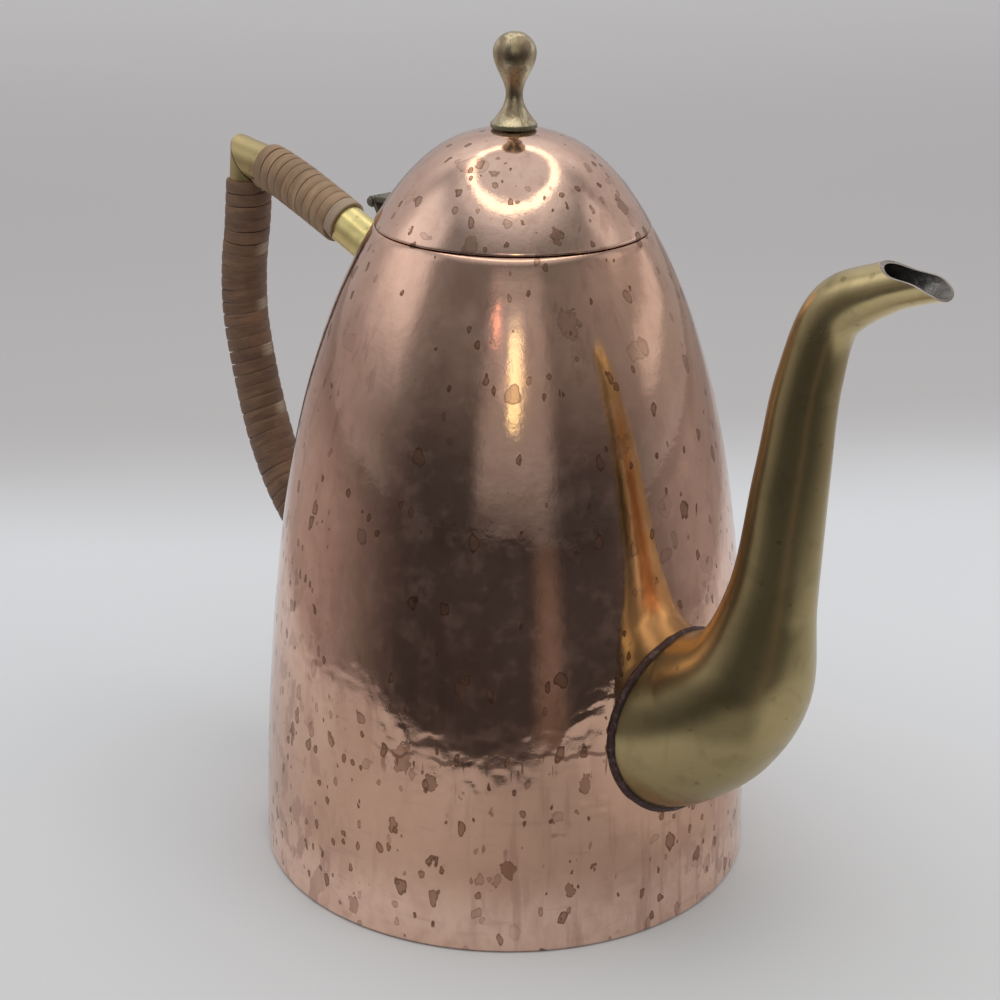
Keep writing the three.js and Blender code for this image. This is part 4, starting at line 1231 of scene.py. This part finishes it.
def make_limb(name, path, other, node, rows):
    """A hollow limb of the handle, cut at the mitre with the other limb's path."""
    normal = np.array([path["tx"][-1] - other["tx"][-1], 0, path["tz"][-1] - other["tz"][-1]])
    normal /= np.linalg.norm(normal)
    corner = np.array([CORNER[0], 0, CORNER[1]])
    before_mitre = lambda p: (p - corner) @ normal < -SEAT_GAP / 2
    limb = hollow_tube(
        name, stretched(path, 3 * HANDLE_TUBE_RADIUS), (HANDLE_TUBE_WALL, HANDLE_TUBE_WALL), before_mitre,
        rows, sides=72, slots=(0, 0, 0))
    finish(limb, "brass", HANDLE_BRASS)
    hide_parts(node)


def wind_strip(name, path, node, material, bare, turns, pitch, width, first_angle, frayed, seed):
    """Split cane wound round a limb: one unbroken band with a crowned, fibrous face.

    bare is the length left free at the corner, and frayed holds places as their middle and half length, in
    turns.
    """
    count = turns * STRIP_STEPS + 1
    around = np.linspace(0, turns, count)
    draw = np.random.default_rng(seed)
    half_section = np.array([0.0, 0.3, 0.55, 0.75, 0.9, STRIP_EDGE])
    across = np.concatenate([-half_section[:0:-1], half_section])
    section = np.concatenate([points_of(across, 1 - CROWN_FALL * np.abs(across) ** 5),
                              points_of([STRIP_EDGE, 0.4, -0.4, -STRIP_EDGE], 0)])
    noise_along = lambda pace, offset, size, number: soft_noise(
        points_of(around * pace, 0, offset), (size,) * 3, number)
    each_turn = np.arange(turns + 2)
    lift = np.interp(around, each_turn, draw.uniform(*TURN_LIFT, turns + 2))[:, None, None]
    wobble = STRIP_WOBBLE * noise_along(9, 0, 4, seed)
    angle = 2 * math.pi * around + first_angle
    x, z, tx, tz, _ = on_path(path, 1 - (bare + pitch * (turns - around) + wobble) / path["length"])
    centre, along = points_of(x, 0, z)[:, None], points_of(tx, 0, tz)[:, None]
    radial = points_of(tz * np.cos(angle), np.sin(angle), -tx * np.cos(angle))[:, None]
    inner = HANDLE_TUBE_RADIUS + STRIP_STAND
    narrow = width * (1 + STRIP_WIDTH_SPREAD * noise_along(11, 5, 5, seed + 1))
    narrow = (narrow * np.clip(START_WIDTH + around * STRIP_STEPS / START_STEPS, 0, 1))[:, None, None]
    to_end = np.minimum(around, turns - around) * STRIP_STEPS / END_STEPS
    ends = np.clip(to_end, END_THICKNESS, 1)[:, None, None]
    rows = (centre + along * section[:, :1] * narrow / 2
            + radial * (inner + lift + STRIP_THICKNESS * ends * section[:, 1:]))
    distance = around * 2 * math.pi * (inner + 1)
    uv = points_of(distance[:, None] / GRAIN_LENGTH, section[:, 0] * width / (2 * GRAIN_LENGTH)).reshape(-1, 2)
    wrap = make_object(name, rows, "pot", sharp_angle=55, uv=uv)
    turn_shades = draw.uniform(0, DARKEST_TURN, turns + 2) ** SHADE_POWER
    turn_shades[turns - 1:] = CORNER_TURN_SHADE
    fray = np.zeros(count)
    for middle, half in frayed:
        fray = np.maximum(fray, np.clip(FRAY_GAIN * (1 - np.abs(around - middle) / half), 0, 1))
    for label, values in (("turn shade", np.interp(around, each_turn, turn_shades)), ("frayed", fray)):
        layer = wrap.data.attributes.new(label, "FLOAT", "POINT")
        layer.data.foreach_set("value", np.repeat(values, rows.shape[1]).astype(np.float32))
    finish(wrap, "cane", material)
    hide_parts(node)


# ---- all pieces

make_wall()
make_base()
make_mouth_band()
make_dome()
make_collar()
make_knob()
make_clamp()
make_hinge()
make_spout()
make_limb("upper_handle_tube", upper_path, lower_path, "handle_upper_tube", rows=60)
make_limb("lower_handle_tube", lower_path, upper_path, "handle_lower_tube", rows=150)
make_bead("upper_root_seam", upper_path, HANDLE_BEAD_RADIUS, "handle_upper_solder", 52)
make_bead("lower_root_seam", lower_path, HANDLE_BEAD_RADIUS, "handle_lower_solder", 53)
wind_strip("upper_cane_wrap", upper_path, "wrap_upper", LIT_UPPER_CANE, bare=9, turns=11, pitch=3.5, width=3.4,
           first_angle=math.radians(-125), frayed=((0.2, 0.5),), seed=61)
wind_strip("lower_cane_wrap", lower_path, "wrap_lower", SHADED_LOWER_CANE, bare=7.4, turns=28, pitch=4.02, width=3.97,
           first_angle=0, frayed=((9.05, 0.08), (14.05, 0.09), (18.05, 0.08), (23.05, 0.09)), seed=62)


# ---- camera

CAMERA_TURN = 44.9
CAMERA_DISTANCE, CAMERA_HEIGHT = 7.7677 * BASE_RADIUS, 4.4058 * BASE_RADIUS
CAMERA_PITCH, CAMERA_YAW, CAMERA_ROLL = 0.3612, -0.0046, 0.0115
SENSOR_WIDTH = 36
LENS_SHARE = 2.06773


def make_camera():
    """The camera as fitted to the base, the mouth and the upright plane of spout and handle."""
    pitch, yaw, roll, turned = CAMERA_PITCH, CAMERA_YAW, CAMERA_ROLL, math.radians(CAMERA_TURN)
    ahead = Vector((math.sin(yaw) * math.cos(pitch), math.cos(yaw) * math.cos(pitch), -math.sin(pitch)))
    right = Vector((math.cos(yaw), -math.sin(yaw), 0))
    up = right.cross(ahead)
    side = math.cos(roll) * right + math.sin(roll) * up
    top = -math.sin(roll) * right + math.cos(roll) * up
    to_row = Matrix(((math.cos(turned), -math.sin(turned), 0), (math.sin(turned), math.cos(turned), 0),
                     (0, 0, 1)))
    data = bpy.data.cameras.new("camera")
    data.sensor_width = SENSOR_WIDTH
    data.lens = SENSOR_WIDTH * LENS_SHARE
    data.clip_end = 20
    camera = link("camera", data)
    axes = Matrix([to_row @ side, to_row @ top, to_row @ -ahead]).transposed()
    place = to_row @ Vector((0, -CAMERA_DISTANCE, CAMERA_HEIGHT)) * MM
    camera.matrix_world = Matrix.Translation(place) @ axes.to_4x4()
    bpy.context.scene.camera = camera


# ---- the stage, in metres and degrees

# The way from the pot to the camera's side of the room, and the way to the right of it
CAMERA_SIDE = math.radians(-45.1)
TOWARD = (math.cos(CAMERA_SIDE), math.sin(CAMERA_SIDE), 0.0)
ACROSS = (-math.sin(CAMERA_SIDE), math.cos(CAMERA_SIDE), 0.0)
PAPER_FRONT, PAPER_LEFT, PAPER_RIGHT, PAPER_CORNER = 0.225, -0.22, 0.27, 0.56
SIDE_TURNS = (42, 112)
FLOOR_HALF = 8000.0

# Parts of the room that polished metal sees. Each has the middle in degrees right of the camera's side,
# how far its outer and inner edges stand from that, and a rise and a fall in degrees up.
DOORWAY = (4, 26, 13, -6, 12, 48, 34)
DOORWAY_GLOW = (1, 12, 4, 16, 22, 40, 30)
LEFT_WINDOW = (-92, 30, 12, 8, 26, 54, 40)
RIGHT_WINDOW = (97, 16, 6, 22, 30, 50, 40)
RIGHT_BAR = (106, 26, 16, 6.5, 10.5, 18.5, 14.5)
BRIGHT_PANE = (3, 5, 2, 12, 18, 35, 28)
RED_SPARK = (-10, 3.5, 1, 29, 31.5, 37, 34.5)
LAMP_TILT = math.radians(6)
LAMP_NARROWING = 0.84
ROOM_SHADE = 0.055
BLACK = (0, 0, 0)


def make_floor():
    """A pale sweep. Polished metal sees the paper end close to the pot, before a dark room."""
    material, shader, place = new_material("pale sweep")
    toward, sideways = along_way(place, TOWARD), along_way(place, ACROSS)
    away = times(toward, -1)
    mottle = minus(noise(place, 3, 2), 0.5)
    skewed = minus(plus(away, times(mottle, 0.1)), times(sideways, 0.12))
    # Painted light and shade: the paper is darker close to the pot and in a band behind it, paler between and
    # far off. The bands shift from side to side, standing in for the lamps' falloff.
    tint = dyed(
        blend(ramp(skewed, -0.12, 0.16), (0.600, 0.600, 0.600), (0.665, 0.678, 0.695)),
        (ramp(skewed, 0.22, 0.42), (0.47, 0.455, 0.455)),
        (ramp(skewed, 0.7, 2.3), (0.73, 0.715, 0.72)))

    # The paper ends at a curved front edge, at both sides and at a cut corner
    from_peak = minus(sideways, 0.09)
    front = minus(times(from_peak, from_peak, 0.73), away)
    corner = minus(times(sideways, 1.45), away)
    beyond = most(ramp(front, PAPER_FRONT - 0.002, PAPER_FRONT + 0.004),
                  ramp(sideways, PAPER_LEFT, PAPER_LEFT - 0.08),
                  ramp(sideways, PAPER_RIGHT, PAPER_RIGHT + 0.12),
                  ramp(corner, PAPER_CORNER, PAPER_CORNER + 0.015))
    turned = maths("DEGREES", maths("ARCTAN2", sideways, toward))
    distance = vectors("LENGTH", place, output="Value")
    ahead = blend(ramp(apart(turned, 18), 10, 1), (0.044, 0.040, 0.042), (0.16, 0.122, 0.10))
    right_side = blend(ramp(distance, 0.9, 2), (0.35, 0.32, 0.31), (0.50, 0.46, 0.445))
    side = blend(ramp(turned, -20, 20), (0.46, 0.42, 0.405), right_side)
    room_floor = blend(ramp(maths("ABSOLUTE", turned), *SIDE_TURNS), ahead, side)
    # Painted shade, seen only in reflections: the paper just in front of the pot is darkened by a fifth.
    reflected_front_shade = times(ramp(sideways, -0.10, 0.05), ramp(sideways, 0.11, 0.08), ramp(away, -0.02, -0.09))
    mirrored = add("ShaderNodeLightPath").outputs["Is Glossy Ray"]
    tint = dyed(tint, (times(reflected_front_shade, mirrored, 0.2), BLACK), (times(beyond, mirrored), room_floor))
    connect(shader, tint, rough=0.9)
    shader.inputs["Specular IOR Level"].default_value = 0.1
    corners = [(x * FLOOR_HALF, y * FLOOR_HALF, 0) for x, y in ((-1, -1), (1, -1), (1, 1), (-1, 1))]
    floor = loose_mesh("floor", corners, [(0, 1, 2, 3)])
    floor.data.materials.append(material)


def make_world():
    """Plain soft light. Polished metal sees a room: dark ahead, paler to the sides and overhead."""
    world = bpy.data.worlds.new("studio")
    bpy.context.scene.world = world
    world.use_nodes = True
    world.cycles.sampling_method = "NONE"
    open_tree(world.node_tree)
    way = add("ShaderNodeTexCoord").outputs["Generated"]
    across = along_way(way, ACROSS)
    turned = maths("DEGREES", maths("ARCTAN2", across, along_way(way, TOWARD)))
    level = maths("DEGREES", maths("ARCSINE", on_axis(way, "Z")))
    to_side = maths("ABSOLUTE", turned)

    def part(middle, outer, inner, rise, risen, fallen, fall):
        return times(ramp(apart(turned, middle), outer, inner), ramp(level, rise, risen),
                     ramp(level, fallen, fall))

    total = plus(
        ROOM_SHADE, times(ramp(to_side, *SIDE_TURNS), ramp(level, 62, 20), 0.385),
        plus(times(ramp(level, 2, 34), 0.17), times(ramp(level, 44, 66), 0.74)),
        times(part(*DOORWAY), 0.28), times(part(*DOORWAY_GLOW), 0.2), times(part(*LEFT_WINDOW), 0.45),
        times(part(*RIGHT_WINDOW), 0.3), times(part(*RIGHT_BAR), 0.42),
        times(ramp(turned, 20, 45), ramp(turned, 90, 60), ramp(level, 2, 14), ramp(level, 44, 30), 0.07),
        times(ramp(to_side, 115, 145), ramp(level, 26, 48), 0.55))
    room = blend(total, BLACK, blend(ramp(level, 20, 60), (1, 0.985, 1), (0.98, 1.03, 1.07)))

    def shine(mask, tint):
        return blend(1, room, blend(mask, BLACK, tint), "ADD")

    room = shine(part(*BRIGHT_PANE), (2, 1.9, 1))
    room = shine(part(*RED_SPARK), (1.6, 0.75, 0.5))

    # The ring lamp above the camera, round a way tilted back from straight up
    lamp_way = (*(-math.sin(LAMP_TILT) * share for share in TOWARD[:2]), math.cos(LAMP_TILT))
    lamp_fore = (*(math.cos(LAMP_TILT) * share for share in TOWARD[:2]), math.sin(LAMP_TILT))
    fore = times(along_way(way, lamp_fore), LAMP_NARROWING)
    reach = maths("SQRT", plus(times(fore, fore), times(across, across)))
    opening = maths("DEGREES", maths("ARCTAN2", reach, along_way(way, lamp_way)))
    room = blend(ramp(opening, 25, 20, 0, 0.2), room, BLACK)
    room = shine(ramp(apart(opening, 26), 4, 1), (1.6, 1.4, 1.05))

    rays = add("ShaderNodeLightPath").outputs
    plain = blend(rays["Is Camera Ray"], (0.60, 0.60, 0.605), (0.47, 0.46, 0.46))
    background = tree.nodes["Background"].inputs
    feed(background["Color"], blend(rays["Is Glossy Ray"], plain, room))
    background["Strength"].default_value = 1


def area_lamp(name, place, size, energy):
    """A round soft lamp that points at the pot. The room above stands in for its reflection."""
    lamp = bpy.data.lights.new(name, "AREA")
    lamp.shape = "DISK"
    lamp.size = size
    lamp.energy = energy
    light = link(name, lamp)
    light.location = place
    light.rotation_euler = (Vector((0, 0, 0.1)) - Vector(place)).to_track_quat("-Z", "Y").to_euler()
    light.visible_glossy = False


make_camera()
make_floor()
make_world()
area_lamp("overhead", (0.0, -0.15, 1.6), size=2.0, energy=12.5)
area_lamp("side fill", (1.1, 0.6, 1.2), size=1.4, energy=4.0)

bpy.context.scene.view_settings.view_transform = "Standard"
